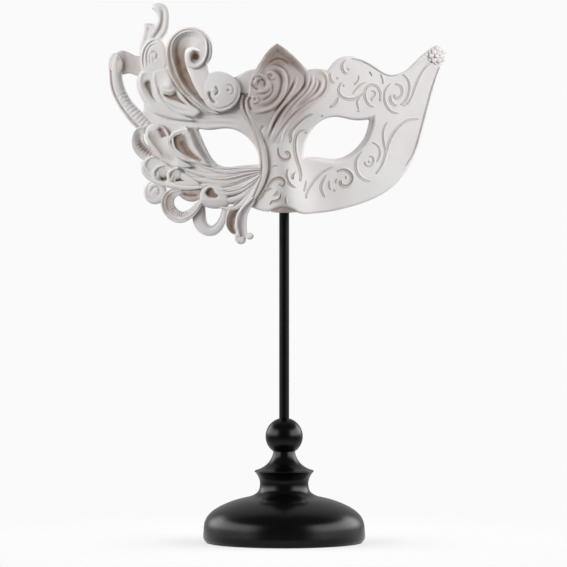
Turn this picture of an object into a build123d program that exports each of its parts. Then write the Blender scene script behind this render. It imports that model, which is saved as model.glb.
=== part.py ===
from build123d import *
import math
import os

# A Venetian half-mask on a turned table stand, in millimetres.
# Frame: origin at the centre of the felt pad's underside, +Z up along the rod, the mask looks along -Y.
#
# The mask's ornaments are laid out on a front drawing. A drawn point is (a, b): a is measured to the
# right of the rod and b upwards from the foot's front edge, both as an eye EYE_DISTANCE in front sees them.
# Every ornament is cut from a layer that follows the mask's curved front, so each one lies on the next.

# Driving dimensions of the stand
FOOT_RADIUS = 48.5
FOOT_REST_RADIUS = 47.4
FELT_THICKNESS = 0.8
FELT_INSET = 0.6
COVER_THICKNESS = 2.0
CASTING_WALL = 4.5
COLLAR_FOOT_Z = 29.2
COLLAR_FOOT_RADIUS = 17.2
COLLAR_TOP_Z = 54.5
COLLAR_TOP_RADIUS = 6.5
BALL_RADIUS = 11.2
BALL_CENTRE_Z = 63.6
ROD_RADIUS = 3.0
STUD_RADIUS = 2.4
RUNNING_GAP = 0.05
HUB_RADIUS = 9.0
HUB_FOOT_Z = 16.0
HUB_ROOT_Z = 23.5
WASHER_RADIUS = 6.0
WASHER_THICKNESS = 1.2
NUT_FLATS = 8.0
NUT_HEIGHT = 4.0
STUD_TAIL = 2.0
ROD_CHAMFER = 0.6
SHOULDER_Z = 51.0

# Driving dimensions of the socket that the mask stands on
ROD_TOP_Z = 246.0
SOCKET_MOUTH_Z = 206.0
SOCKET_TOP_Z = 254.0
SOCKET_RADIUS = 7.5
WEB_WIDTH = 11.0
WEB_REACH = 60.0

# Driving dimensions of the mask's curved front
EYE_DISTANCE = 2000.0
EYE_HEIGHT = 155.3
FOOT_FRONT_DROP = 3.4
BRIDGE_STANDOFF = 20.0
MIDPLANE_A = -2.0
MIDPLANE_B = 245.0
MIDPLANE_TILT = 0.055
WRAP_SLOPE = 1.05
WRAP_ROUNDING = 38.0
LEAN_PER_MM2 = 0.0022
LEAN_LEVEL_B = 240.0
NOSE_RISE = 15.0
NOSE_START_B = 262.0
NOSE_END_B = 208.0
NOSE_HALF_WIDTH_TOP = 9.0
NOSE_SPREAD = 0.11
SHELL_THICKNESS = 4.0

# Heights of the ornament layers above the shell's front face
ON_SHELL = (0.0, 3.0)
ON_FIRST = (3.0, 6.0)
ON_SECOND = (6.0, 9.0)
IN_SHELL = (-SHELL_THICKNESS, 0.0)
BEHIND_SHELL = (-SHELL_THICKNESS - 70.0, -SHELL_THICKNESS)

# The rosette at the tip of the right brow
ROSETTE = (91.4, 295.2)
ROSETTE_RADIUS = 5.2
PETAL_COUNT = 6
PETAL_SHARE = 0.42
PETAL_PITCH_SHARE = 0.6
BUD_RADIUS = 1.9

# How far the front sheet reaches past the drawing, how finely it is laid, and where cutters start
SHEET_A = (-122.0, 112.0)
SHEET_B = (168.0, 340.0)
SHEET_STEP = 6.0
CUT_REACH = 120.0


def midplane(b):
    """Where the mask's middle is at drawn height b: the mask is hung with its right side a little higher."""
    return MIDPLANE_A - (b - MIDPLANE_B) * MIDPLANE_TILT


def front_depth(a, b):
    """The y of the mask's front face: it wraps round the head, leans back above and below, and has a nose."""
    u = a - midplane(b)
    wrap = WRAP_SLOPE * (math.hypot(u, WRAP_ROUNDING) - WRAP_ROUNDING)
    lean = LEAN_PER_MM2 * (b - LEAN_LEVEL_B) ** 2
    share = min(1.0, max(0.0, (NOSE_START_B - b) / (NOSE_START_B - NOSE_END_B)))
    rise = NOSE_RISE * share * share * (3.0 - 2.0 * share)
    width = NOSE_HALF_WIDTH_TOP + NOSE_SPREAD * max(0.0, NOSE_START_B - b)
    return wrap + lean - BRIDGE_STANDOFF - rise * math.exp(-((u / width) ** 2))


def placed(a, b):
    """The point of the mask's front face that is seen at drawn point (a, b)."""
    y = front_depth(a, b)
    spread = 1.0 + y / EYE_DISTANCE
    return Vector(a * spread, y, EYE_HEIGHT + (b - FOOT_FRONT_DROP - EYE_HEIGHT) * spread)


def front_sheet():
    """The mask's curved front, wider than any ornament, as one smooth face."""
    columns = round((SHEET_A[1] - SHEET_A[0]) / SHEET_STEP)
    rows = round((SHEET_B[1] - SHEET_B[0]) / SHEET_STEP)
    points = []
    for row in range(rows + 1):
        b = SHEET_B[0] + row * SHEET_STEP
        points.append([placed(SHEET_A[0] + column * SHEET_STEP, b) for column in range(columns + 1)])
    return Face.make_surface_from_array_of_points(points, tol=0.01, min_deg=3)


FRONT = front_sheet()


def layer(heights):
    """The space between two heights above the front face, measured forwards."""
    low, high = heights
    return Solid.extrude(FRONT.moved(Location((0, -low, 0))), Vector(0, low - high, 0))


LAYERS = {heights: layer(heights) for heights in (IN_SHELL, ON_SHELL, ON_FIRST, ON_SECOND, BEHIND_SHELL)}


def flat(point):
    """A drawn point on the plane behind the mask where every cutter starts."""
    spot = placed(*point)
    return Vector(spot.X, CUT_REACH, spot.Z)


def cutter(edges):
    """The prism along Y whose outline is these edges."""
    return Solid.extrude(Face(Wire(edges)), Vector(0, -2.0 * CUT_REACH, 0))


def outline(*runs):
    """The prism of a closed outline. Each run of points is one smooth curve, and runs meet in corners."""
    edges = []
    for index, run in enumerate(runs):
        points = [flat(p) for p in [*run, runs[(index + 1) % len(runs)][0]]]
        edges.append(Line(*points) if len(points) == 2 else Spline(*points))
    return cutter(edges)


def loop(*points):
    """The prism of one smooth closed curve."""
    return cutter([Spline(*[flat(p) for p in points], periodic=True)])


def oval(a, b, half_width, half_height):
    """The prism of an ellipse, drawn through eight points."""
    turns = [math.tau * k / 8 for k in range(8)]
    return loop(*[(a + half_width * math.cos(t), b + half_height * math.sin(t)) for t in turns])


def ribbon(stations):
    """The prism of a ribbon. Each station is (a, b, width), and the edges run smoothly half a width away."""
    left, right = [], []
    for index, (a, b, width) in enumerate(stations):
        before = stations[max(0, index - 1)]
        after = stations[min(len(stations) - 1, index + 1)]
        along = Vector(after[0] - before[0], after[1] - before[1]).normalized()
        left.append((a - along.Y * width / 2, b + along.X * width / 2))
        right.append((a + along.Y * width / 2, b - along.X * width / 2))
    sides = [Spline(*[flat(p) for p in side]) for side in (left, right)]
    caps = [Line(flat(left[end]), flat(right[end])) for end in (0, -1)]
    return cutter([sides[0], caps[1], sides[1], caps[0]])


def solids_of(shape):
    """Every solid in a shape or in a list of shapes."""
    parts = shape if isinstance(shape, list) else [shape]
    return [solid for part in parts for solid in part.solids()]


def cut_from(heights, prism, *others):
    """The part of a layer inside a prism, with earlier pieces of the same layer cut away."""
    piece = LAYERS[heights] & prism
    for other in others:
        piece = piece - other
    kept = sorted(solids_of(piece), key=lambda s: s.volume)
    return kept[-1]


# ---------------------------------------------------------------- stand


def turned(edges):
    """A solid of revolution about the rod's axis, from a closed outline in the XZ plane."""
    return Solid.revolve(Face(Wire(edges)), 360, Axis.Z)


def at(radius, z):
    return Vector(radius, 0, z)


def felt_pad():
    return Solid.make_cylinder(FOOT_REST_RADIUS - FELT_INSET, FELT_THICKNESS)


def base_cover():
    """The fibreboard disc that closes the hollow casting, flush with its rim."""
    disc = Solid.make_cylinder(FOOT_REST_RADIUS - CASTING_WALL, COVER_THICKNESS)
    return disc.moved(Location((0, 0, FELT_THICKNESS)))


def base_dome():
    """The hollow foot casting: an upright rim, a dome that sweeps up to the collar, a hub for the stud."""
    bore = STUD_RADIUS + RUNNING_GAP
    rebate = FOOT_REST_RADIUS - CASTING_WALL
    rim_z = FELT_THICKNESS
    outside = [at(FOOT_REST_RADIUS, rim_z), at(FOOT_RADIUS - 0.2, rim_z + 1.4), at(FOOT_RADIUS, 6.5),
               at(48.1, 10.7)]
    outside += [at(47.0, 14.1), at(44.6, 17.4), at(40.2, 20.7), at(35.4, 23.1), at(29.6, 25.3),
                at(23.4, 26.9)]
    outside += [at(19.4, 28.0), at(COLLAR_FOOT_RADIUS, COLLAR_FOOT_Z)]
    inside = [at(HUB_RADIUS, HUB_ROOT_Z), at(24.0, 21.8), at(34.0, 18.2), at(41.0, 12.6),
              at(rebate + 0.6, 7.0)]
    inside += [at(rebate, rim_z + COVER_THICKNESS)]
    edges = [
        Spline(*outside),
        Line(outside[-1], at(bore, COLLAR_FOOT_Z)),
        Line(at(bore, COLLAR_FOOT_Z), at(bore, HUB_FOOT_Z)),
        Line(at(bore, HUB_FOOT_Z), at(HUB_RADIUS, HUB_FOOT_Z)),
        Line(at(HUB_RADIUS, HUB_FOOT_Z), inside[0]),
        Spline(*inside),
        Line(inside[-1], at(rebate, rim_z)),
        Line(at(rebate, rim_z), outside[0]),
    ]
    return turned(edges)


def neck_collar():
    """The turned neck: a waisted drum, a sharp ring and a slender throat that the ball sits on."""
    bore = STUD_RADIUS + RUNNING_GAP
    seat = ROD_RADIUS + RUNNING_GAP
    drum = [at(COLLAR_FOOT_RADIUS, COLLAR_FOOT_Z), at(15.5, 30.9), at(14.6, 34.0), at(14.8, 37.4),
            at(16.0, 40.2)]
    drum += [at(17.2, 42.0)]
    ring = [at(17.2, 42.0), at(17.8, 42.7), at(17.0, 43.4)]
    throat = [at(17.0, 43.4), at(12.4, 45.4), at(9.2, 48.2), at(7.4, 51.2),
              at(COLLAR_TOP_RADIUS, COLLAR_TOP_Z)]
    edges = [
        Line(at(bore, COLLAR_FOOT_Z), drum[0]),
        Spline(*drum),
        Spline(*ring),
        Spline(*throat),
        Line(throat[-1], at(seat, COLLAR_TOP_Z)),
        Line(at(seat, COLLAR_TOP_Z), at(seat, SHOULDER_Z)),
        Line(at(seat, SHOULDER_Z), at(bore, SHOULDER_Z)),
        Line(at(bore, SHOULDER_Z), at(bore, COLLAR_FOOT_Z)),
    ]
    return turned(edges)


def ball():
    """The ball, flattened where it sits on the neck and bored for the rod."""
    sphere = Solid.make_sphere(BALL_RADIUS, angle1=-90, angle2=90).moved(Location((0, 0, BALL_CENTRE_Z)))
    reach = 2.0 * BALL_RADIUS
    below = Solid.make_box(reach, reach, reach)
    below = below.moved(Location((-reach / 2, -reach / 2, COLLAR_TOP_Z - reach)))
    bore = Solid.make_cylinder(ROD_RADIUS + RUNNING_GAP, 2 * reach)
    bore = bore.moved(Location((0, 0, COLLAR_TOP_Z - 1.0)))
    return solids_of(sphere - below - bore)[0]


def rod():
    """The steel rod: its shoulder sits in the neck, and a thinner stud runs down through the hub."""
    stud_foot = HUB_FOOT_Z - WASHER_THICKNESS - NUT_HEIGHT - STUD_TAIL
    chamfer = ROD_CHAMFER
    edges = [
        Line(at(0, stud_foot), at(STUD_RADIUS - chamfer, stud_foot)),
        Line(at(STUD_RADIUS - chamfer, stud_foot), at(STUD_RADIUS, stud_foot + chamfer)),
        Line(at(STUD_RADIUS, stud_foot + chamfer), at(STUD_RADIUS, SHOULDER_Z)),
        Line(at(STUD_RADIUS, SHOULDER_Z), at(ROD_RADIUS, SHOULDER_Z)),
        Line(at(ROD_RADIUS, SHOULDER_Z), at(ROD_RADIUS, ROD_TOP_Z - chamfer)),
        Line(at(ROD_RADIUS, ROD_TOP_Z - chamfer), at(ROD_RADIUS - chamfer, ROD_TOP_Z)),
        Line(at(ROD_RADIUS - chamfer, ROD_TOP_Z), at(0, ROD_TOP_Z)),
        Line(at(0, ROD_TOP_Z), at(0, stud_foot)),
    ]
    return turned(edges)


def stud_washer():
    ring = Solid.make_cylinder(WASHER_RADIUS, WASHER_THICKNESS)
    ring = ring - Solid.make_cylinder(STUD_RADIUS, WASHER_THICKNESS)
    return solids_of(ring)[0].moved(Location((0, 0, HUB_FOOT_Z - WASHER_THICKNESS)))


def stud_nut():
    """The hexagon nut that keeps the rod in the hub and turns with it."""
    corner = NUT_FLATS / math.sqrt(3.0)
    turns = [math.radians(60 * k) for k in range(7)]
    corners = [Vector(corner * math.cos(t), corner * math.sin(t), 0) for t in turns]
    hexagon = Face(Wire([Line(corners[k], corners[k + 1]) for k in range(6)]))
    nut = Solid.extrude(hexagon, Vector(0, 0, NUT_HEIGHT)) - Solid.make_cylinder(STUD_RADIUS, NUT_HEIGHT)
    return solids_of(nut)[0].moved(Location((0, 0, HUB_FOOT_Z - WASHER_THICKNESS - NUT_HEIGHT)))


def rod_socket():
    """The boss behind the nose: a blind hole over the rod's end, on a web that reaches the shell."""
    height = SOCKET_TOP_Z - SOCKET_MOUTH_Z
    mouth = Location((0, 0, SOCKET_MOUTH_Z))
    tube = Solid.make_cylinder(SOCKET_RADIUS, height).moved(mouth)
    web = Solid.make_box(WEB_WIDTH, WEB_REACH, height)
    web = web.moved(Location((-WEB_WIDTH / 2, -WEB_REACH, SOCKET_MOUTH_Z)))
    boss = (tube & LAYERS[BEHIND_SHELL]) + (web & LAYERS[BEHIND_SHELL])
    hole = Solid.make_cylinder(ROD_RADIUS + RUNNING_GAP, ROD_TOP_Z - SOCKET_MOUTH_Z).moved(mouth)
    return sorted(solids_of(boss - hole), key=lambda s: s.volume)[-1]


# ---------------------------------------------------------------- mask


def right_eye():
    return outline(
        [(11.8, 234.2), (12.3, 240), (14.5, 247), (18.5, 253), (24.5, 257.4), (32, 258.6), (40, 257),
         (46, 256.6)],
        [(51, 257.2), (49.7, 251), (47.3, 245.3), (43.5, 240.5), (38.5, 236.3), (33.5, 234), (27, 233.7),
         (19, 234.6)],
    )


def left_eye():
    return outline(
        [(-51.5, 251.6), (-44, 250.8), (-36, 251.7), (-29, 250.7), (-23, 247.2), (-18.5, 242),
         (-15.6, 236)],
        [(-14.6, 230.3), (-22, 229.9), (-30, 228.9), (-36, 228.8), (-40, 230.4), (-43.5, 234.4),
         (-47, 241)],
    )


def mask_shell():
    """The half-mask: one curved shell with two eye holes, a raised brow and an arch under the nose."""
    face = outline(
        [(-29, 282.5), (-24, 285.5)],
        [(-18, 287), (-4.5, 294)],
        [(14, 287), (20, 287.4)],
        [(26, 286.8), (30, 292), (36, 295), (42, 294.8), (50, 291.3), (58, 286.3), (65, 284.2),
         (72, 286.2), (80, 293.5)],
        [(88, 300), (92, 301.5), (96, 298.5)],
        [(94.5, 290), (90, 278.5), (85, 260), (81, 243), (76.5, 232), (69, 220.5), (60, 213),
         (45, 206.3), (28, 202)],
        [(12, 200.3)],
        [(8, 201.2), (4.5, 203.2), (-0.5, 204.6), (-6, 203.2)],
        [(-9.5, 201.8), (-20, 204.5), (-30, 206), (-42, 207), (-55, 212), (-66, 221), (-75, 235),
         (-82, 250)],
        [(-84.5, 262), (-82, 274), (-74, 281), (-62, 282.5), (-50, 282.5), (-40, 282.5)],
    )
    return cut_from(IN_SHELL, face, right_eye(), left_eye())


def crest_plate():
    """The pointed plate over the forehead, which narrows down to the bridge of the nose."""
    return cut_from(
        ON_SHELL,
        outline(
            [(-4.5, 302.6), (2, 298.6), (8, 293)],
            [(13.6, 287), (13.4, 280), (9.5, 273.5), (2, 265), (-4.5, 256.5)],
            [(-9, 247), (-12.5, 252.5), (-17.5, 258), (-21, 266), (-21.5, 276), (-18.6, 285.5),
             (-13.5, 294), (-9, 299.4)],
        ),
    )


def crest_scroll(crest):
    """The scroll on the crest's right, whose tail runs down to the nose."""
    head = oval(19.2, 279.5, 6.3, 7.0)
    tail = ribbon([(21, 275, 7), (16.5, 269.5, 7), (9, 263.5, 6.5), (2.5, 256.5, 5), (-2.5, 248, 3.5),
                   (-5, 240.5, 2)])
    return cut_from(ON_SHELL, head + tail, crest)


def nose_stem(crest):
    """The long stem that comes down from the brow, follows the nose's left side and fans out below."""
    stations = [(-24.3, 273, 3.2), (-24.6, 266, 3.6), (-21.8, 258, 3.8), (-16.8, 249.5, 4.0)]
    stations += [(-12.8, 240, 4.2), (-10.6, 230, 4.2), (-11.8, 221.5, 4.0), (-15.4, 213.5, 3.6),
                 (-19.5, 207, 3.2)]
    return cut_from(ON_SHELL, ribbon(stations), crest)


def cheek_flutes(stem):
    """The fan of flutes that spreads from the nose over the left cheek."""
    fan = outline(
        [(-14.8, 228.8), (-22, 228.4), (-30, 227.4), (-38, 227.3), (-48, 229), (-58, 232), (-66, 234)],
        [(-68, 226), (-58, 217), (-48, 215.6)],
        [(-48, 208.5), (-40, 205), (-33, 203), (-26, 206.5)],
        [(-19, 206), (-15.5, 213.5), (-13.5, 222)],
    )
    return cut_from(ON_SHELL, fan, stem)


def flute_curl():
    """The rolled end of one flute, over the fan's lower edge."""
    return cut_from(ON_FIRST, oval(-44.5, 212.6, 4.6, 4.6) + ribbon([(-44, 210, 3), (-38, 209.5, 3),
                                                                     (-31, 212.5, 2)]))


def eye_leaf(flutes):
    """The cupped leaf at the left eye's outer corner."""
    leaf = outline(
        [(-57, 250.5), (-54.5, 243), (-51, 236.5), (-45.5, 230)],
        [(-53, 231.6), (-60, 233.6), (-66.5, 237.4), (-69.4, 242.5), (-68.3, 248), (-63, 250.3)],
    )
    return cut_from(ON_SHELL, leaf, flutes)


def temple_leaf(eye_leaf_piece, flutes):
    """The broad leaf that rolls over at the left temple."""
    leaf = outline(
        [(-82.5, 251), (-78.5, 254.2), (-73.5, 254), (-69.8, 249.6), (-69.6, 242), (-67.5, 236.5)],
        [(-60, 229.5), (-66.5, 229), (-73, 235), (-80, 241.8)],
    )
    return cut_from(ON_SHELL, leaf, eye_leaf_piece, flutes)


def ribbed_curl(arm):
    """The ribbed gutter that comes down beside the temple leaf."""
    stations = [(-85, 250.5, 5), (-88.7, 246, 6), (-87.6, 240, 7), (-82, 235, 8), (-75.5, 229.5, 8),
                (-69, 225.5, 6)]
    return cut_from(IN_SHELL, ribbon(stations), MASK_SHELL, arm)


def bead_scrolls():
    """Three small rolled curls in a row below the temple leaf."""
    curls = [(-81.2, 228.6, 4.2), (-75.2, 224.6, 3.7), (-67.3, 223.2, 3.4)]
    return [cut_from(ON_FIRST, oval(a, b, r, r)) for a, b, r in curls]


def lower_leaf(others):
    """The leaf under the three curls, along the cheek's lower edge."""
    leaf = outline(
        [(-86, 230.5), (-84, 224), (-79, 219.5), (-70, 216), (-58, 214.6)],
        [(-50, 215.4), (-56, 218.5), (-66, 225), (-74, 231), (-80, 233.5)],
    )
    return cut_from(ON_SHELL, leaf, *others)


def small_volute():
    return cut_from(IN_SHELL, oval(-78, 213.4, 6.6, 7.0), MASK_SHELL)


def front_loop(lower):
    """The ribbed ribbon that loops below the cheek and comes back under the flute curl."""
    band = loop((-49, 208), (-52, 213), (-60, 214.2), (-68, 214.6), (-73.3, 209), (-73, 201.5),
                (-67, 196.4), (-59, 197.4))
    hole = loop((-52.5, 207.6), (-58, 208.6), (-64.5, 208), (-65.3, 205), (-62, 202.6), (-57, 203.5))
    return cut_from(ON_SHELL, band, hole, lower)


def back_loop():
    """The plain ribbon that loops behind, between the ribbed loop and the foot leaf."""
    stations = [(-51, 205.5, 7), (-51.2, 197.5, 8), (-48, 191.3, 7.6), (-42.3, 190.8, 6.4),
                (-38, 196, 5), (-35.6, 204, 4)]
    return cut_from(IN_SHELL, ribbon(stations), MASK_SHELL)


def foot_leaf(others):
    """The narrow leaf that hangs below the cheek, hollow on its left."""
    stations = [(-21.5, 211, 3), (-26, 204.5, 6), (-30.8, 199, 7), (-31.8, 193.5, 6.4), (-29.8, 188.6, 2.6)]
    return cut_from(ON_SHELL, ribbon(stations), *others)


def foot_scroll(others):
    """The stem beside the foot leaf, which ends in two small curls."""
    stem = ribbon([(-20.2, 206, 2.6), (-23.6, 201.4, 3.8), (-25.6, 195.5, 4.6), (-24.6, 188.5, 5)])
    prism = stem + oval(-20.8, 187, 3.0, 2.8) + oval(-26.2, 184.4, 2.9, 2.7)
    return cut_from(ON_SHELL, prism, *others)


def upper_leaf():
    """The upper cupped leaf at the left brow."""
    return cut_from(
        ON_SHELL,
        outline(
            [(-83, 287), (-86.8, 283), (-87.3, 276), (-84.6, 268), (-79, 261)],
            [(-72, 259), (-74.8, 268), (-77, 275), (-78, 282)],
        ),
    )


def middle_leaf(upper):
    """The lower cupped leaf at the left brow, with a lip that curls over."""
    leaf = outline(
        [(-78, 282), (-77, 275), (-74.8, 268), (-69, 262), (-60, 259.5)],
        [(-52, 261.5), (-58, 268.5), (-65, 277), (-71, 281.5)],
    )
    return cut_from(ON_SHELL, leaf, upper)


def shell_volute(upper, middle):
    """The oval volute with a spiral on it, between the tall plume and the big volute."""
    return cut_from(ON_SHELL, oval(-77.6, 295.2, 8.0, 10.4), upper, middle)


def big_volute():
    """The largest ornament: a ribbed gutter that rises from the brow and rolls in on itself."""
    head = oval(-58.2, 300, 12.6, 13.0)
    tail = ribbon([(-61.5, 292, 19), (-60, 282, 15.5), (-54.5, 273, 11.5), (-47.5, 266.5, 7.5),
                   (-40, 262.6, 3)])
    return cut_from(ON_FIRST, head + tail)


def medallion():
    """The round plate beside the crest, with two small curls on it."""
    return cut_from(ON_SECOND, oval(-38.2, 274.2, 11.8, 12.0))


def tall_plume(volute):
    """The plume that stands highest and hooks over to the left."""
    stations = [(-80.5, 296, 10), (-81, 303, 12), (-79, 309.5, 12.5), (-74.4, 316, 10),
                (-72.7, 321, 7.6), (-74.8, 325, 5)]
    prism = ribbon([*stations, (-78, 324.4, 2.6)])
    return cut_from(IN_SHELL, prism, MASK_SHELL, volute)


def outer_arm():
    """The ribbed arm that sweeps out on the left and ends in a small curl."""
    stations = [(-101, 290, 7.4), (-101, 283, 7.4), (-99.8, 276, 7.4), (-96.5, 268.5, 8.2),
                (-91, 260.5, 10), (-84.5, 254, 11)]
    return cut_from(IN_SHELL, oval(-100.6, 290.6, 4.4, 4.4) + ribbon(stations), MASK_SHELL)


def arm_bridge(arm, plume):
    """The wide band that ties the arm's end back to the body of the ornament."""
    band = ribbon([(-84, 290, 12), (-90, 290.6, 12), (-97, 291, 12)])
    return cut_from(IN_SHELL, band, MASK_SHELL, arm, plume)


def rosette_petals():
    """A ring of round petals at the tip of the right brow, joined in the middle."""
    a, b = ROSETTE
    petal = PETAL_SHARE * ROSETTE_RADIUS
    pitch = PETAL_PITCH_SHARE * ROSETTE_RADIUS
    prism = oval(a, b, pitch, pitch)
    for k in range(PETAL_COUNT):
        turn = math.tau * k / PETAL_COUNT
        prism = prism + oval(a + pitch * math.cos(turn), b + pitch * math.sin(turn), petal, petal)
    return cut_from(ON_SHELL, prism)


def rosette_bud():
    return cut_from(ON_FIRST, oval(*ROSETTE, BUD_RADIUS, BUD_RADIUS))


MASK_SHELL = mask_shell()


def mask_pieces():
    """Every mask node by name. Pieces of one layer that meet are cut to each other in this order."""
    pieces = {"mask_shell": MASK_SHELL, "rod_socket": rod_socket()}
    crest = pieces["crest_plate"] = crest_plate()
    pieces["crest_scroll"] = crest_scroll(crest)
    stem = pieces["nose_stem"] = nose_stem(crest)
    flutes = pieces["cheek_flutes"] = cheek_flutes(stem)
    pieces["flute_curl"] = flute_curl()
    pieces["eye_leaf"] = eye_leaf(flutes)
    temple = pieces["temple_leaf"] = temple_leaf(pieces["eye_leaf"], flutes)
    arm = pieces["outer_arm"] = outer_arm()
    pieces["ribbed_curl"] = ribbed_curl(arm)
    pieces["bead_scrolls"] = bead_scrolls()
    lower = pieces["lower_leaf"] = lower_leaf([flutes, temple])
    pieces["small_volute"] = small_volute()
    pieces["front_loop"] = front_loop(lower)
    pieces["back_loop"] = back_loop()
    foot = pieces["foot_leaf"] = foot_leaf([flutes, stem])
    pieces["foot_scroll"] = foot_scroll([flutes, stem, foot])
    upper = pieces["upper_leaf"] = upper_leaf()
    middle = pieces["middle_leaf"] = middle_leaf(upper)
    volute = pieces["shell_volute"] = shell_volute(upper, middle)
    pieces["big_volute"] = big_volute()
    pieces["medallion"] = medallion()
    plume = pieces["tall_plume"] = tall_plume(volute)
    pieces["arm_bridge"] = arm_bridge(arm, plume)
    pieces["rosette_petals"] = rosette_petals()
    pieces["rosette_bud"] = rosette_bud()
    return pieces


def stand_pieces():
    return {
        "felt_pad": felt_pad(),
        "base_cover": base_cover(),
        "base_dome": base_dome(),
        "neck_collar": neck_collar(),
        "ball": ball(),
        "rod": rod(),
        "stud_washer": stud_washer(),
        "stud_nut": stud_nut(),
    }


def main():
    os.makedirs("parts", exist_ok=True)
    for node, piece in {**stand_pieces(), **mask_pieces()}.items():
        shape = Compound(children=piece) if isinstance(piece, list) else piece
        export_step(shape, f"parts/{node}.step")
        print(node, "volume", round(shape.volume))


main()
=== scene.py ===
# %% [markdown]
# # A Venetian half-mask on its stand
#
# The mask is a cast of white resin: a plain half and a half covered in plumes, scrolls and leaves. It
# stands on a thin black rod in a turned foot. The stand is already right as the design model has it, so it
# keeps its shapes and only gets its finishes. The mask is different. Its ornaments are plain layers in the
# design model, and here every one of them is carved again as a surface that numpy works out.

# %% Load the frame
import math

import bpy
import numpy as np
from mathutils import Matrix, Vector


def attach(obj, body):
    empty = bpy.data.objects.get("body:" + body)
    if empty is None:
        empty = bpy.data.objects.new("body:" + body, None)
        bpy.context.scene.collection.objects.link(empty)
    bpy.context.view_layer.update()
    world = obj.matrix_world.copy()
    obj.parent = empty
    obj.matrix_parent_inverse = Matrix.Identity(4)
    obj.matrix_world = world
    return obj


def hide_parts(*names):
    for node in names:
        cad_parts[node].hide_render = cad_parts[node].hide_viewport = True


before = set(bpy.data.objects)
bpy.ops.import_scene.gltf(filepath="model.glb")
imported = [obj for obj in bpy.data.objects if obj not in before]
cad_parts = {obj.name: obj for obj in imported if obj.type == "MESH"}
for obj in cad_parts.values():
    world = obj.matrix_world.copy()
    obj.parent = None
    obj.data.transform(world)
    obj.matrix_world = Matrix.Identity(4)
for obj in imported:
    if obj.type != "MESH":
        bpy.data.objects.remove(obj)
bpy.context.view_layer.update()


MM = 0.001

# %% [markdown]
# ## Where a drawn point is in space
#
# The carver's drawing of the mask is a front view in millimetres: `a` is to the right of the rod and `b` is
# upwards. The mask's front face has one depth at each drawn point, so the drawing can be wrapped on it. The
# face is a valley seen from behind: it bends round the head as a hyperbola does, leans back above and below
# as a parabola, and a bell-shaped ridge makes the nose. A lift is a height above that face, towards the
# viewer.

# %% The mask's front face
EYE_DISTANCE = 2000.0
EYE_HEIGHT = 155.3
FOOT_FRONT_DROP = 3.4
BRIDGE_STANDOFF = 20.0
WRAP_SLOPE = 1.05
WRAP_ROUNDING = 38.0
NOSE_RISE = 15.0
NOSE_START, NOSE_END = 262.0, 208.0
SHELL_THICKNESS = 4.0


def smoothstep(x):
    """An S-shaped step from 0 to 1 as x goes from 0 to 1: three squares less two cubes."""
    x = np.clip(x, 0.0, 1.0)
    return x * x * (3.0 - 2.0 * x)


def front_depth(a, b):
    """The front face's y in mm: a hyperbola across, a parabola upwards, less a bell along the nose."""
    u = a + 2.0 + (b - 245.0) * 0.055
    wrap = WRAP_SLOPE * (np.hypot(u, WRAP_ROUNDING) - WRAP_ROUNDING)
    lean = 0.0022 * (b - 240.0) ** 2
    rise = NOSE_RISE * smoothstep((NOSE_START - b) / (NOSE_START - NOSE_END))
    width = 9.0 + 0.11 * np.maximum(0.0, NOSE_START - b)
    return wrap + lean - BRIDGE_STANDOFF - rise * np.exp(-((u / width) ** 2))


def placed(a, b, lift):
    """Points in metres: the drawn point is pushed back to the face's depth along the viewer's line of
    sight."""
    y = front_depth(a, b) - lift
    spread = 1.0 + y / EYE_DISTANCE
    z = EYE_HEIGHT + (b - FOOT_FRONT_DROP - EYE_HEIGHT) * spread
    return np.stack([a * spread, y, z], axis=-1) * MM


print("front face at the bridge, mm:", placed(np.array(-2.0), np.array(245.0), 0.0) / MM)

# %% [markdown]
# ## Curves and distances
#
# Every ornament starts from a few points of a curve. A natural cubic spline through them has no kinks, and
# it carries more than two numbers per point: a ribbon's points also hold its width and its lift. The
# carving then needs one more thing, how far each place is from a curve, because a groove is simply a
# function of that distance.

# %% Curves through points, and distances to them
def spline(points, step=0.5, closed=False):
    """A natural cubic through the rows, in chord length, at about one point per step of the first two
    columns."""
    rows = np.asarray(points, dtype=float)
    if closed:
        rows = np.concatenate([rows[-3:], rows, rows[:4]])
    gaps = np.hypot(*np.diff(rows[:, :2], axis=0).T)
    knots = np.concatenate([[0.0], np.cumsum(gaps)])
    count = len(rows)
    if count == 2:
        bends = np.zeros_like(rows)
    else:
        system = np.eye(count)
        inner = np.arange(1, count - 1)
        system[inner, inner - 1] = gaps[:-1]
        system[inner, inner] = 2.0 * (gaps[:-1] + gaps[1:])
        system[inner, inner + 1] = gaps[1:]
        slopes = np.diff(rows, axis=0) / gaps[:, None]
        right = np.zeros_like(rows)
        right[1:-1] = 6.0 * np.diff(slopes, axis=0)
        bends = np.linalg.solve(system, right)
    first, last = (3, count - 4) if closed else (0, count - 1)
    length = knots[last] - knots[first]
    s = np.linspace(knots[first], knots[last], max(2, int(round(length / step)) + 1))
    k = np.clip(np.searchsorted(knots, s, side="right") - 1, 0, count - 2)
    gap = gaps[k][:, None]
    before = (knots[k + 1] - s)[:, None]
    after = (s - knots[k])[:, None]
    cubic = (bends[k] * before**3 + bends[k + 1] * after**3) / (6.0 * gap)
    line = (rows[k] / gap - bends[k] * gap / 6.0) * before
    line = line + (rows[k + 1] / gap - bends[k + 1] * gap / 6.0) * after
    curve = cubic + line
    return curve[:-1] if closed else curve


def outline(*runs, step=0.5):
    """A closed outline: each run of points is smooth, and the runs meet in corners."""
    pieces = []
    for index, run in enumerate(runs):
        ahead = runs[(index + 1) % len(runs)][0]
        pieces.append(spline([*run, ahead], step)[:-1])
    return np.concatenate(pieces)


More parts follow.
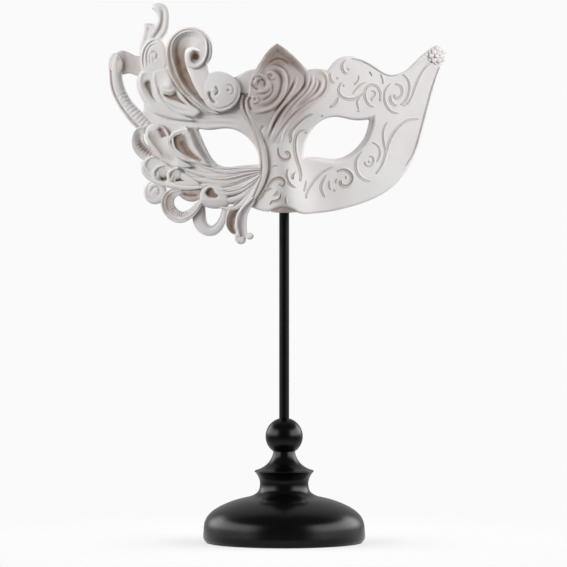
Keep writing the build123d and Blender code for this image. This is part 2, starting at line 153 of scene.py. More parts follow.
def oval(a, b, half_width, half_height, tilt=0.0, step=0.5):
    """An ellipse about (a, b), turned by tilt degrees."""
    count = int(math.tau * max(half_width, half_height) / step)
    t = np.arange(count) * math.tau / count
    x, y = half_width * np.cos(t), half_height * np.sin(t)
    c, s = math.cos(math.radians(tilt)), math.sin(math.radians(tilt))
    return np.stack([a + x * c - y * s, b + x * s + y * c], axis=1)


def nearest(spots, line, closed=False):
    """For each spot: its distance to the line, and the line's own row (place and any other numbers)
    there."""
    ends = np.roll(line, -1, axis=0) if closed else line[1:]
    starts = line if closed else line[:-1]
    run = ends - starts
    squared = (run[:, :2] ** 2).sum(1) + 1e-12
    found = np.empty((len(spots), line.shape[1]))
    for first in range(0, len(spots), 4000):
        some = spots[first : first + 4000]
        away = some[:, None, :] - starts[None, :, :2]
        t = np.clip((away * run[None, :, :2]).sum(2) / squared, 0.0, 1.0)
        off = away - t[:, :, None] * run[None, :, :2]
        best = np.argmin((off**2).sum(2), axis=1)
        share = t[np.arange(len(some)), best][:, None]
        found[first : first + 4000] = starts[best] + share * run[best]
    return np.hypot(*(spots - found[:, :2]).T), found


def inside(spots, loop):
    """Whether each spot is inside a closed loop: a line to the right of it crosses the loop an odd
    number of times."""
    ends = np.roll(loop, -1, axis=0)
    crossed = np.zeros(len(spots), dtype=bool)
    for (a0, b0), (a1, b1) in zip(loop, ends):
        spans = (b0 > spots[:, 1]) != (b1 > spots[:, 1])
        if spans.any():
            reach = a0 + (spots[spans, 1] - b0) * (a1 - a0) / (b1 - b0)
            crossed[spans] ^= spots[spans, 0] < reach
    return crossed


def cut(depth, *points, ends=0.25):
    """A knife cut along a curve: full depth in the middle, and shallower over the last part at each end."""
    line = spline(points)
    share = np.linspace(0.0, 1.0, len(line))
    fade = smoothstep(np.minimum(share, 1.0 - share) / ends + 0.15)
    return np.column_stack([line, depth * fade])


print("a cut has", len(cut(1.0, (0, 0), (10, 5), (20, 0))), "points")

# %% [markdown]
# ## Meshes from grids
#
# Two kinds of surface make the whole mask. A *plate* is a grid over a closed outline whose rim points are
# moved on to the outline, with one height for each point. A *ribbon* is a cross-section carried along a
# curve. Both come out closed, with their faces outwards, and both carry a number called `wash_and_shade`:
# how much grey-brown tint is painted at that point. It is the height of the neighbourhood less the height
# of the point itself, so it gathers in the hollows. It stands partly for the real grey-brown antiquing that
# stays in the cuts when the cast is wiped, and partly for painted shade, the darkening of hollows that get
# less light.

# %% Make a piece from points and faces
def closed_volume(points, triangles):
    """Six times the volume inside a closed mesh, from the triple products of its triangles."""
    p, q, r = (points[triangles[:, k]] for k in range(3))
    return float((p * np.cross(q, r)).sum())


def add_piece(name, shells, material, body="mask"):
    """One object from closed shells, each (points in metres, quads, triangles, painted antiquing and
    shade).
    Faces are turned outwards."""
    points, faces, wash_and_shade, start = [], [], [], 0
    for shell_points, quads, triangles, shell_wash_and_shade in shells:
        halves = [quads[:, [0, 1, 2]], quads[:, [0, 2, 3]]] if len(quads) else []
        corners = np.concatenate([*halves, triangles]) if len(triangles) else np.concatenate(halves)
        turned = closed_volume(shell_points - shell_points.mean(0), corners) < 0.0
        for kind in (quads, triangles):
            if len(kind):
                faces.extend(((kind[:, ::-1] if turned else kind) + start).tolist())
        points.append(shell_points)
        wash_and_shade.append(shell_wash_and_shade)
        start += len(shell_points)
    mesh = bpy.data.meshes.new(name)
    mesh.from_pydata(np.concatenate(points).tolist(), [], faces)
    # The wash_and_shade attribute: partly the real antiquing in the hollows, partly painted shade there.
    tints = np.concatenate(wash_and_shade).astype(np.float32)
    mesh.attributes.new("wash_and_shade", "FLOAT", "POINT").data.foreach_set("value", tints)
    mesh.polygons.foreach_set("use_smooth", np.ones(len(mesh.polygons), dtype=bool))
    mesh.materials.append(material)
    mesh.validate()
    piece = bpy.data.objects.new(name, mesh)
    bpy.context.scene.collection.objects.link(piece)
    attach(piece, body)
    print(f"{name}: {len(mesh.polygons)} faces")
    return piece


def blurred(grid, known, rounds):
    """The grid after each point has taken the mean of itself and its four neighbours, rounds times."""
    values = np.where(known, grid, 0.0)
    weight = known.astype(float)
    for _ in range(rounds):
        total, count = values.copy(), weight.copy()
        for axis in (0, 1):
            for shift in (1, -1):
                total += np.roll(values, shift, axis)
                count += np.roll(weight, shift, axis)
        values = np.where(known, total / np.maximum(count, 1e-9), 0.0)
        weight = known.astype(float)
    return values


# %% [markdown]
# ### Plates
#
# A plate is a flat ornament as a carver sees it: an outline, and a height at every place inside it. It
# could be sculpted, or displaced from a picture of heights. A regular grid that is cut to the outline, with
# its heights worked out by a formula, keeps the mesh even and lets every cut be given in millimetres. Its
# rim is stitched to a back plate, so that it closes.


# %% A plate: a relief over a closed outline
# How deep a hollow must be to get the full painted shade and antiquing tint.
WASH_AND_SHADE_DEPTH = 1.1


def plate(loop, relief, step=0.4, back=-1.0, holes=(), wash_and_shade_more=None, blur=14):
    """A closed shell over an outline. relief(spots, distance from the rim) is the front's lift, back
    is the back's."""
    low, high = loop.min(0) - 2 * step, loop.max(0) + 2 * step
    columns = np.arange(low[0], high[0], step)
    rows = np.arange(low[1], high[1], step)
    spots = np.stack(np.meshgrid(columns, rows), axis=-1).reshape(-1, 2)
    shape = (len(rows), len(columns))
    within = inside(spots, loop)
    rim_gap, rim = nearest(spots, loop, closed=True)
    for hole in holes:
        within &= ~inside(spots, hole)
        gap, place = nearest(spots, hole, closed=True)
        closer = gap < rim_gap
        rim_gap = np.where(closer, gap, rim_gap)
        rim = np.where(closer[:, None], place, rim)
    core = (within & (rim_gap > 0.35 * step)).reshape(shape)
    grown = core.copy()
    for down in (-1, 0, 1):
        for along in (-1, 0, 1):
            grown |= np.roll(core, (down, along), (0, 1))
    edge = (grown & ~core).ravel()
    spots[edge] = rim[edge, :2]
    rim_gap[edge] = 0.0
    used = grown.ravel()
    number = np.full(len(spots), -1)
    number[used] = np.arange(used.sum())
    ids = np.arange(len(spots)).reshape(shape)
    cells = np.stack([ids[:-1, :-1], ids[:-1, 1:], ids[1:, 1:], ids[1:, :-1]], axis=-1).reshape(-1, 4)
    keep = used[cells].all(1) & core.ravel()[cells].any(1)
    quads = number[cells[keep]]
    flat = spots[used]
    gap = rim_gap[used]
    lift = relief(flat, gap)
    grid = np.zeros(len(spots))
    grid[used] = lift
    smooth = blurred(grid.reshape(shape), used.reshape(shape), blur).ravel()[used]
    # Painted shade and antiquing: darker where the point lies below its neighbourhood, kept off the rim.
    wash_and_shade = np.clip((smooth - lift) / WASH_AND_SHADE_DEPTH, 0.0, 1.0) * smoothstep((gap - 0.3) / 1.1)
    if wash_and_shade_more is not None:
        wash_and_shade = np.clip(wash_and_shade + wash_and_shade_more(flat, gap), 0.0, 1.0)
    floor = back(flat) if callable(back) else np.full(len(flat), float(back))
    floor = np.minimum(floor, lift - 0.6)
    count = len(flat)
    points = np.concatenate([placed(flat[:, 0], flat[:, 1], lift), placed(flat[:, 0], flat[:, 1], floor)])
    sides = np.concatenate([quads[:, [k, (k + 1) % 4]] for k in range(4)])
    codes = sides[:, 0] * count + sides[:, 1]
    lone = ~np.isin(sides[:, 1] * count + sides[:, 0], codes)
    u, v = sides[lone].T
    walls = np.stack([v, u, u + count, v + count], axis=1)
    faces = np.concatenate([quads, quads[:, ::-1] + count, walls])
    return points, faces, np.zeros((0, 3), int), np.concatenate([wash_and_shade, np.full(count, 0.15)])


def rounded(gap, radius):
    """How far a rounded edge is below its plate: a quarter circle of that radius beside the rim."""
    share = 1.0 - np.clip(gap / radius, 0.0, 1.0)
    return radius * (np.sqrt(1.0 - share**2) - 1.0)


# %% [markdown]
# ### Ribbons
#
# Plumes, curls and stems are strips that a modeller would roll out and lay down. A ribbon is one cross-
# section carried along a curve through stations, each with its own width and lift. A sweep along a curve
# object would do this too, but it could not change its section on the way or carry the painted antiquing
# and shade. The ends are closed with caps.


# %% A ribbon: a cross-section carried along a curve
def ribbon(stations, profile, thickness=3.0, ends=(1.5, 1.5), across=17, step=0.6, wash_and_shade_tint=None, blur=10):
    """A closed shell. Stations are (a, b, width, lift). profile(v, s) is the front's height above the lift.

    v goes from -1 to 1 across, with +1 on the left of the way the curve runs, and s is the length from the
    start, in mm.
    """
    path = spline(stations, step)
    a, b, width, lift = path.T
    s = np.concatenate([[0.0], np.cumsum(np.hypot(np.diff(a), np.diff(b)))])
    along = np.stack([np.gradient(a), np.gradient(b)], axis=1)
    along /= np.maximum(np.hypot(*along.T), 1e-9)[:, None]
    start, end = max(ends[0], 0.05), max(ends[1], 0.05)
    near = np.minimum(np.clip((s + 0.03) / start, 0, 1), np.clip((s[-1] - s + 0.03) / end, 0, 1))
    taper = np.sqrt(1.0 - (1.0 - near) ** 2)[:, None]
    v = -np.cos(np.linspace(0.0, math.pi, across))[None, :]
    half = np.maximum(width, 0.3)[:, None] / 2.0
    middle = (lift - thickness / 2.0)[:, None]
    height = profile(v, s[:, None]) + 0.0 * half
    front = lift[:, None] + height
    under = lift[:, None] - thickness * (0.6 + 0.4 * np.sqrt(np.clip(1.0 - v[:, ::-1] ** 2, 0.0, 1.0)))
    known = np.ones_like(front, dtype=bool)
    around_it = blurred(np.pad(front, 2, mode="edge"), np.pad(known, 2), blur)[2:-2, 2:-2]
    # Painted shade and antiquing in the hollows of the section, as on a plate.
    wash_and_shade = np.clip((around_it - front) / WASH_AND_SHADE_DEPTH, 0.0, 1.0) * smoothstep((1.0 - np.abs(v)) / 0.22)
    # wash_and_shade_tint: an extra painted shade and antiquing tint, given per ribbon across and along it.
    if wash_and_shade_tint is not None:
        wash_and_shade = np.clip(wash_and_shade + wash_and_shade_tint(v, s[:, None]), 0.0, 1.0)
    ring_v = np.concatenate([v, v[:, ::-1]], axis=1)
    ring_lift = np.concatenate([front, under], axis=1)
    ring_lift = middle + (ring_lift - middle) * taper
    ring_a = a[:, None] - along[:, 1:2] * ring_v * half * taper
    ring_b = b[:, None] + along[:, 0:1] * ring_v * half * taper
    around = 2 * across
    points = placed(ring_a, ring_b, ring_lift).reshape(-1, 3)
    poles = placed(a[[0, -1]], b[[0, -1]], lift[[0, -1]] - thickness / 2.0)
    rows = len(path)
    i, j = np.meshgrid(np.arange(rows - 1), np.arange(around), indexing="ij")
    following = (j + 1) % around
    quads = np.stack([i * around + j, i * around + following, (i + 1) * around + following,
                      (i + 1) * around + j], -1)
    ring = np.arange(around)
    first = np.stack([np.full(around, rows * around), (ring + 1) % around, ring], axis=1)
    tail = (rows - 1) * around
    final = np.stack([np.full(around, rows * around + 1), tail + ring, tail + (ring + 1) % around], axis=1)
    all_wash_and_shade = np.concatenate([np.concatenate([wash_and_shade, np.full_like(wash_and_shade, 0.15)], axis=1).ravel(),
                               [0.2, 0.2]])
    return np.concatenate([points, poles]), quads.reshape(-1, 4), np.concatenate([first, final]), all_wash_and_shade


def gutter(depth, rim=0.8, line=0.0, ribs=None):
    """A channel's height across: a parabola of that depth, a raised rim at each side, a thin line and
    cross ribs."""

    def height(v, s):
        floor = depth * (v**2 - 1.0)
        rims = rim * np.exp(-(((np.abs(v) - 0.84) / 0.12) ** 2))
        fine = line * np.exp(-(((v - 0.58) / 0.06) ** 2))
        fall = -1.3 * smoothstep((np.abs(v) - 0.9) / 0.1)
        wave = 0.0 if ribs is None else ribs(s) * smoothstep((0.75 - np.abs(v)) / 0.2)
        return floor + rims + fine + fall + wave

    return height


def cross_ribs(pitch, rise, start, stop):
    """Ribs across a channel: the upper half of a cosine every pitch mm, fading in at start and out at
    stop."""

    def wave(s):
        fade = smoothstep((s - start) / 4.0) * smoothstep((stop - s) / 4.0)
        return rise * fade * (np.abs(np.cos(math.pi * s / pitch)) - 0.5) * 2.0

    return wave


def bead(rise):
    """A rounded rod's height across: half an ellipse of that rise."""

    def height(v, s):
        return rise * np.sqrt(np.clip(1.0 - v**2, 0.0, 1.0)) - rise * 0.35

    return height


def scroll(a, b, outer, inner, turns, start, direction=1.0, count=24, squash=1.0):
    """Points of a spiral about (a, b): the radius falls evenly from outer to inner over the turns."""
    t = np.linspace(0.0, 1.0, count)
    angle = math.radians(start) + direction * math.tau * turns * t
    radius = outer + (inner - outer) * t
    return np.stack([a + radius * np.cos(angle) * squash, b + radius * np.sin(angle)], axis=1)


print("plates and ribbons are ready")

# %% [markdown]
# ## Finishes
#
# Each finish is named for what it is. Colours are written as sRGB hex values, as on a paint chart, and
# turned to linear light by one function. One small helper adds a node with its settings and links.

# %% Colours and nodes
def linear(hex_colour):
    """An sRGB hex colour as linear red, green, blue and alpha."""
    parts = [int(hex_colour[k : k + 2], 16) / 255.0 for k in (1, 3, 5)]
    return (*[c / 12.92 if c <= 0.04045 else ((c + 0.055) / 1.055) ** 2.4 for c in parts], 1.0)


def add_node(tree, kind, inputs=None, **settings):
    """A node with its settings, and its inputs set to values or linked from other nodes' outputs."""
    node = tree.nodes.new(kind)
    for key, value in settings.items():
        setattr(node, key, value)
    for key, value in (inputs or {}).items():
        if isinstance(value, bpy.types.NodeSocket):
            tree.links.new(value, node.inputs[key])
        else:
            node.inputs[key].default_value = value
    return node


def new_finish(name, roughness, metallic=0.0, ior=1.5):
    """A material with a fresh Principled shader, and the object's own coordinates in metres."""
    material = bpy.data.materials.new(name)
    material.use_nodes = True
    tree = material.node_tree
    tree.nodes.clear()
    shader = add_node(tree, "ShaderNodeBsdfPrincipled",
                      {"Roughness": roughness, "Metallic": metallic, "IOR": ior})
    add_node(tree, "ShaderNodeOutputMaterial", {"Surface": shader.outputs["BSDF"]})
    place = add_node(tree, "ShaderNodeTexCoord").outputs["Object"]
    return material, tree, shader, place


def noise(tree, place, size_mm, detail=3.0):
    """A cloudy pattern whose lumps are about size_mm across."""
    inputs = {"Vector": place, "Scale": 1000.0 / size_mm, "Detail": detail}
    return add_node(tree, "ShaderNodeTexNoise", inputs).outputs["Fac"]


def ramp(tree, value, low, high, colour_low="#000000", colour_high="#FFFFFF"):
    """A ramp from one colour to another as value goes from low to high."""
    node = add_node(tree, "ShaderNodeValToRGB", {"Fac": value})
    for stop, at, colour in zip(node.color_ramp.elements, (low, high), (colour_low, colour_high)):
        stop.position = at
        stop.color = linear(colour)
    return node.outputs["Color"]


def mixed(tree, share, first, second, blend="MIX"):
    """Two colours mixed by a share."""
    node = add_node(tree, "ShaderNodeMix", data_type="RGBA", blend_type=blend)
    for key, value in ((0, share), (6, first), (7, second)):
        if isinstance(value, bpy.types.NodeSocket):
            tree.links.new(value, node.inputs[key])
        else:
            node.inputs[key].default_value = value
    return node.outputs[2]


def grain(tree, shader, height, distance_mm, strength=1.0):
    """A fine surface relief from a pattern."""
    inputs = {"Height": height, "Distance": distance_mm * MM, "Strength": strength}
    bump = add_node(tree, "ShaderNodeBump", inputs)
    tree.links.new(bump.outputs["Normal"], shader.inputs["Normal"])


# %% [markdown]
# ### Cast resin with antiquing and painted shade
#
# The mask is cast in white polyurethane resin filled with chalk, so it is dead matt, like gesso. A thin
# grey-brown antiquing was brushed on and wiped off, so it stays in the cuts and hollows. The same warm tint
# is also painted into each recess as shade, deeper than the antiquing alone, so every recess gets a painted
# warm shadow. Beyond that there is a faint cloudiness on the broad faces, and the finest of chalky grain.

# %% Cast resin
def make_cast_resin():
    material, tree, shader, place = new_finish("cast_resin_with_wash_and_shade", 0.62)
    wash_and_shade = add_node(tree, "ShaderNodeAttribute", attribute_name="wash_and_shade").outputs["Fac"]
    cloud = noise(tree, place, 26.0, 4.0)
    white = ramp(tree, cloud, 0.35, 0.7, "#EDE9E8", "#F6F3F1")
    patchy = noise(tree, place, 5.0, 5.0)
    uneven = add_node(tree, "ShaderNodeMapRange",
                      {"Value": patchy, "From Min": 0.3, "From Max": 0.7, "To Min": 0.75})
    share = add_node(tree, "ShaderNodeMath", {0: wash_and_shade, 1: uneven.outputs["Result"]}, operation="MULTIPLY")
    # film and deep: the grey-brown tint of the antiquing and of the painted shade in hollows, from faint to
    # warm brown.
    film = ramp(tree, share.outputs["Value"], 0.02, 0.6, "#FFFFFF", "#D3C6C0")
    deep = ramp(tree, share.outputs["Value"], 0.45, 1.0, "#FFFFFF", "#B7A085")
    wash_and_shade_tint = mixed(tree, 1.0, film, deep, "MULTIPLY")
    tree.links.new(mixed(tree, 1.0, white, wash_and_shade_tint, "MULTIPLY"), shader.inputs["Base Color"])
    chalk = noise(tree, place, 0.7, 4.0)
    tree.links.new(add_node(tree, "ShaderNodeMapRange",
                            {"Value": chalk, "To Min": 0.55, "To Max": 0.75}).outputs[0],
                   shader.inputs["Roughness"])
    grain(tree, shader, chalk, 0.05, 0.5)
    return material


resin = make_cast_resin()
print("made", resin.name)


# %% [markdown]
# ### The stand's finishes
#
# The foot, the neck and the ball are zinc castings under satin black lacquer, sprayed thickly enough to
# flow: smooth, with a very shallow orange-peel and wide soft highlights. The rod is drawn steel in the same
# black, a little duller from handling. Under the foot are a fibreboard disc and a pad of pressed felt.

# %% Lacquer, paint, felt, fibreboard and zinc
def make_lacquer(name, roughness, peel_mm):
    material, tree, shader, place = new_finish(name, roughness)
    tone = ramp(tree, noise(tree, place, 18.0), 0.3, 0.7, "#040404", "#080808")
    tree.links.new(tone, shader.inputs["Base Color"])
    shader.inputs["Specular IOR Level"].default_value = 0.25
    grain(tree, shader, noise(tree, place, peel_mm), 0.03, 0.35)
    return material


def make_felt():
    material, tree, shader, place = new_finish("pressed_felt", 0.95)
    fibres = noise(tree, place, 0.5, 6.0)
    tree.links.new(ramp(tree, fibres, 0.3, 0.75, "#0A0A0A", "#2A2A2B"), shader.inputs["Base Color"])
    shader.inputs["Sheen Weight"].default_value = 0.4
    grain(tree, shader, fibres, 0.25)
    return material


def make_fibreboard():
    material, tree, shader, place = new_finish("hard_fibreboard", 0.8)
    fibres = noise(tree, place, 0.9, 6.0)
    tree.links.new(ramp(tree, fibres, 0.25, 0.75, "#4E3A28", "#7B6046"), shader.inputs["Base Color"])
    grain(tree, shader, fibres, 0.08)
    return material


def make_zinc():
    material, tree, shader, place = new_finish("bright_zinc_plate", 0.34, metallic=1.0)
    tone = ramp(tree, noise(tree, place, 1.5, 5.0), 0.3, 0.7, "#A9ADB0", "#C9CDD0")
    tree.links.new(tone, shader.inputs["Base Color"])
    return material


lacquer = make_lacquer("satin_black_lacquer", 0.24, 1.2)
rod_paint = make_lacquer("black_rod_paint", 0.3, 0.8)
STAND_FINISHES = {
    "felt_pad": make_felt(),
    "base_cover": make_fibreboard(),
    "base_dome": lacquer,
    "neck_collar": lacquer,
    "ball": lacquer,
    "rod": rod_paint,
    "stud_washer": make_zinc(),
    "stud_nut": make_zinc(),
    "rod_socket": resin,
}
for node_name, finish in STAND_FINISHES.items():
    node_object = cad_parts[node_name]
    node_object.data.materials.clear()
    node_object.data.materials.append(finish)
print("finished", len(STAND_FINISHES), "nodes of the frame")

# %% [markdown]
# ## The ornaments of the left half
#
# From here on each ornament has its own short cell. The numbers are the carver's: points on the drawing in
# millimetres. A ribbon's points also have its width and its lift above the face. On a plate the carving is
# a list of strokes: a height, a half width, and the points that the tool follows. A stroke's section is the
# bell curve exp(-(distance / half width)^2), so it is a ridge if the height is positive and a groove if
# not.


# %% Strokes of the carving tool
def strokes(spots, *marks):
    """The sum of soft strokes, each (height, half width, point, point, ...), fading at its two ends."""
    height = np.zeros(len(spots))
    for rise, reach, *points in marks:
        away, row = nearest(spots, cut(rise, *points))
        height += row[:, 2] * np.exp(-((away / reach) ** 2))
    return height


def nearby(spots, reach, *points):
    """1 on a curve through the points, falling off as a bell curve of the distance from it."""
    return np.exp(-((nearest(spots, spline(points))[0] / reach) ** 2))


def pocket(spots, soft, *points):
    """0 outside a closed curve through the points, rising to 1 over the first soft millimetres inside
    it."""
    loop = spline(points, closed=True)
    return inside(spots, loop) * smoothstep(nearest(spots, loop, closed=True)[0] / soft)


def bump(spots, a, b, reach):
    """1 at (a, b), falling off as a bell curve of the distance from it."""
    return np.exp(-((np.hypot(spots[:, 0] - a, spots[:, 1] - b) / reach) ** 2))


# %% [markdown]
# ### The big volute
#
# The largest scroll stands up from the brow: a flanged gutter that winds in to a pierced eye and runs down
# to a ribbed tail. On the real cast it is moulded with the mask. Here it is one ribbon along a spiral,
# because its section is the same gutter all the way, with a small plate for the eye.


# %% The big volute
def volute_section(v, s):
    """Across the volute: a flange with two raised lines on the outside, and a deep ribbed channel
    inside it."""
    step = 0.5 * smoothstep((s - 38.0) / 22.0)
    q = (v - step) / (1.0 - step)
    depth = 1.8 + 1.2 * smoothstep((s - 26.0) / 10.0) - 1.8 * smoothstep((s - 60.0) / 10.0)
    channel = -depth * (1.0 - smoothstep((v - step + 0.45) / 0.6))
    lines = 0.9 * np.exp(-(((q - 0.74) / 0.15) ** 2)) + 0.8 * np.exp(-(((q - 0.2) / 0.13) ** 2))
    edge = -1.6 * smoothstep((v - 0.88) / 0.12)
    low = cross_ribs(1.7, 0.34, 2.0, 27.0)(s)
    high = cross_ribs(1.8, 0.16, 50.0, 76.0)(s)
    outer_ribs = low * smoothstep((v - 0.05) / 0.15) * smoothstep((0.9 - v) / 0.12)
    return channel + lines + edge + outer_ribs + high * smoothstep((step - v) / 0.3)


def volute_wash_and_shade(v, s):
    """Painted shade and antiquing in the channel: darkest under its inner wall, where the channel runs into
    shadow under the web, and fading out where the volute turns down."""
    flank = smoothstep((s - 16.0) / 10.0) * smoothstep((60.0 - s) / 14.0)
    wall = 0.95 * np.exp(-(((v + 0.72) / 0.36) ** 2))
    wall = wall * smoothstep((s - 8.0) / 8.0) * smoothstep((40.0 - s) / 12.0)
    return wall + 0.5 * flank + 0.32 * smoothstep((66.0 - s) / 12.0) * smoothstep((0.3 - v) / 0.5)


def make_big_volute():
    """A wide flanged gutter that climbs from the brow, turns over and rolls in round a deep eye."""
    stations = [
        (-38.5, 261, 1.6, 3.0), (-45, 263.6, 4.6, 3.6), (-50.4, 267.4, 6.0, 4.2), (-56.3, 273.4, 8.2, 4.8),
        (-61.4, 281, 10.8, 5.2), (-64.2, 288, 11.8, 5.4), (-65.3, 295, 11.8, 5.8), (-63.6, 302.6, 12, 6.2),
        (-57.2, 306.4, 12.2, 6.8), (-50, 304.6, 11, 7.4), (-46.5, 299.5, 8.2, 7.8),
        (-46.6, 293.8, 5.6, 7.4),
        (-48.6, 290.4, 3, 7.0),
    ]
    band = ribbon(stations, volute_section, 4.0, (1.5, 2.0), 41, 0.45, volute_wash_and_shade)
    lip = [
        (-53.4, 299.2, 0.9, 6.6), (-56.2, 297.8, 2.2, 7.4), (-57.9, 294.4, 3.2, 8.0),
        (-57.0, 290.8, 3.8, 8.0),
        (-53.6, 289.2, 3.2, 7.8), (-50, 290.6, 2.0, 7.8), (-47.4, 294.6, 1.3, 8.0), (-46.4, 300, 1.1, 8.2),
        (-47.4, 305.6, 1.0, 8.2), (-50.6, 309.4, 0.8, 7.8),
    ]
    rolled = ribbon(lip, bead(1.6), 3.6, (1.5, 2.0), 15, 0.45)

    def web_relief(spots, gap):
        return 5.8 + rounded(gap, 2.4) - 3.6 * bump(spots, -53.0, 294.7, 2.3)

    # The pit in the eye is painted darker: shade in the recess, with some antiquing.
    web = plate(
        outline([(-55.5, 299.4), (-58.6, 297), (-59.6, 293.2), (-58.4, 289.3), (-56.6, 285.6),
                 (-55.9, 281.5),
                 (-54.2, 277.5), (-51.4, 272.6), (-48.6, 269.2)],
                [(-45, 268), (-44.6, 276), (-44.4, 284), (-45.3, 288), (-46.2, 292), (-48.8, 297)]),
        web_relief, 0.4, 0.0, wash_and_shade_more=lambda spots, gap: bump(spots, -53.0, 294.7, 2.6),
    )
    piece = add_piece("big_volute_carved", [band, rolled, web], resin)
    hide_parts("big_volute")


make_big_volute()


# %% [markdown]
# ### The medallion
#
# A round boss beside the volute, with a comma and a small curl cut into it. A plate is the natural choice:
# a low dome, less the strokes of a gouge.


# %% The medallion
def make_medallion():
    """A low boss with a cut around it, a comma on its left and a small curl on its right."""

    def relief(spots, gap):
        dome = 1.6 * bump(spots, -38.4, 274.0, 10.0)
        return 5.6 + dome + rounded(gap, 1.8) + strokes(
            spots,
            (-1.9, 0.75, (-45.6, 282.4), (-48, 280.2), (-48.7, 276), (-47.6, 271.4), (-45.4, 268)),
            (-0.9, 0.6, (-30.4, 281), (-28.2, 277.4), (-28, 272), (-31, 266.8), (-35.6, 264.2),
             (-40, 263.8), (-44, 266)),
            (-2.2, 0.9, (-44.7, 274.4), (-44.5, 271.4), (-43.2, 269), (-40.6, 266.8)),
            (-1.5, 0.75, (-41.8, 277), (-40.2, 275.6), (-40.1, 273), (-41.8, 271.6)),
            (0.6, 0.9, (-43.4, 275.4), (-42.2, 273.6)),
            (-1.0, 0.8, (-34.0, 273.9), (-32.8, 275.2)),
            (-0.7, 0.55, (-35, 276.8), (-32.6, 277.8), (-30.7, 276), (-31, 273), (-33.4, 271.6)),
        )

    loop = spline([(-49.8, 277), (-48.4, 282), (-44.6, 285), (-38.5, 286), (-32.5, 284), (-28, 280),
                   (-26.2, 274.5),
                   (-27.6, 268.5), (-32, 263.8), (-38, 261.6), (-44.4, 263.8), (-48.8, 270)], closed=True)
    piece = add_piece("medallion_carved", [plate(loop, relief, 0.35, 0.0)], resin)
    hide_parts("medallion")


make_medallion()


# %% [markdown]
# ### The oval volute
#
# A smaller boss behind the big volute, with two cuts round its left side and a spiral in the middle, made
# in the same way as the medallion.


# %% The oval volute beside the big one
def make_shell_volute():
    """An oval boss with two cuts around its left side and a small spiral in the middle."""

    def relief(spots, gap):
        return 4.0 + rounded(gap, 1.6) + 0.5 * bump(spots, -78.0, 294.0, 4.0) + strokes(
            spots,
            (-1.1, 0.55, (-75.5, 305), (-79.5, 303.6), (-82.6, 300.6), (-84.2, 296.6), (-84.4, 291),
             (-83.6, 287)),
            (-0.9, 0.5, (-76.4, 302.6), (-79.6, 301.4), (-81.8, 298.4), (-82.4, 294), (-82, 288.6)),
            (-0.6, 0.5, (-80.8, 297.2), (-80.6, 293.6), (-80.4, 290)),
            (-0.9, 0.6, (-79.8, 296.2), (-78.4, 297.8), (-76.6, 297), (-76.4, 294.6), (-77.8, 293)),
            (-0.7, 0.5, (-78.4, 294.8), (-78.6, 292.8), (-77.4, 291.6)),
        )

    loop = outline([(-76, 306.2), (-81, 305), (-84.6, 301), (-86.2, 295.5), (-86, 290), (-84.5, 285.4)],
                   [(-80, 283.5), (-74.6, 284.5), (-71, 288), (-70.8, 296), (-72.2, 303)])
    piece = add_piece("shell_volute_carved", [plate(loop, relief, 0.36, -1.0)], resin)
    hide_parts("shell_volute")


make_shell_volute()


# %% [markdown]
# ### The tall plume
#
# The plume is the highest point of the mask, and its tip turns over to the left like a feather's. It is a
# plate with one long fold, because its outline is too irregular for a ribbon.


# %% The tall plume
def make_tall_plume():
    """The highest plume: a broad blade with a fold along it, and a hook at the top that turns to the
    left."""

    def relief(spots, gap):
        climb = 2.6 * smoothstep((spots[:, 1] - 296.0) / 26.0)
        return 0.8 + climb + rounded(gap, 2.2) + strokes(
            spots,
            (-0.95, 0.85, (-74, 325.4), (-72.9, 321), (-73.1, 316), (-74.4, 311.8), (-77.4, 307),
             (-80.4, 302.6)),
            (0.8, 1.4, (-70.8, 322), (-70.8, 316), (-72, 310.6), (-75, 306)),
            (0.7, 1.2, (-76.4, 325), (-75.2, 320.4), (-75.4, 315.6), (-77, 311.4), (-80.4, 306.6)),
            (-0.7, 1.2, (-81, 313.4), (-82.2, 309), (-83.4, 303)),
        )

    loop = outline(
        [(-77.6, 314), (-76.2, 316.4), (-76, 319.2), (-77.2, 321.6)],
        [(-79.6, 323.6), (-79, 325.6), (-76.4, 327), (-72.8, 326.6), (-69.8, 324.2), (-68.6, 320),
         (-68.8, 314.6),
         (-70.2, 309.4), (-73, 305.6)],
        [(-74.6, 297), (-80, 293.4), (-86.2, 295.4), (-87, 301), (-85.6, 306.4), (-84.4, 310.6)],
        [(-84.2, 314.6), (-81, 315)],
    )
    piece = add_piece("tall_plume_carved", [plate(loop, relief, 0.4, -2.6)], resin)
    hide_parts("tall_plume")


make_tall_plume()


# %% [markdown]
# ### The outer arm
#
# The arm is an open bracket down the left edge, with a button at its head, and ribs where it comes back to
# the cheek. It is a ribbon, since it keeps one section. A hollow plate bridges it to the brow.


# %% The outer arm and its bridge
def arm_section(v, s):
    """Across the arm: a narrow step on the outside, a soft crown, and a slope on the inside; ribbed
    lower down."""
    crown = 1.3 * np.exp(-(((v + 0.1) / 0.55) ** 2)) - 1.4 * smoothstep((v - 0.3) / 0.6)
    cut_line = -0.8 * np.exp(-(((v + 0.66) / 0.1) ** 2))
    edge = -1.2 * smoothstep((-v - 0.9) / 0.1)
    return crown + cut_line + edge + cross_ribs(2.5, 0.24, 22.0, 58.0)(s) * smoothstep((v + 0.6) / 0.25)


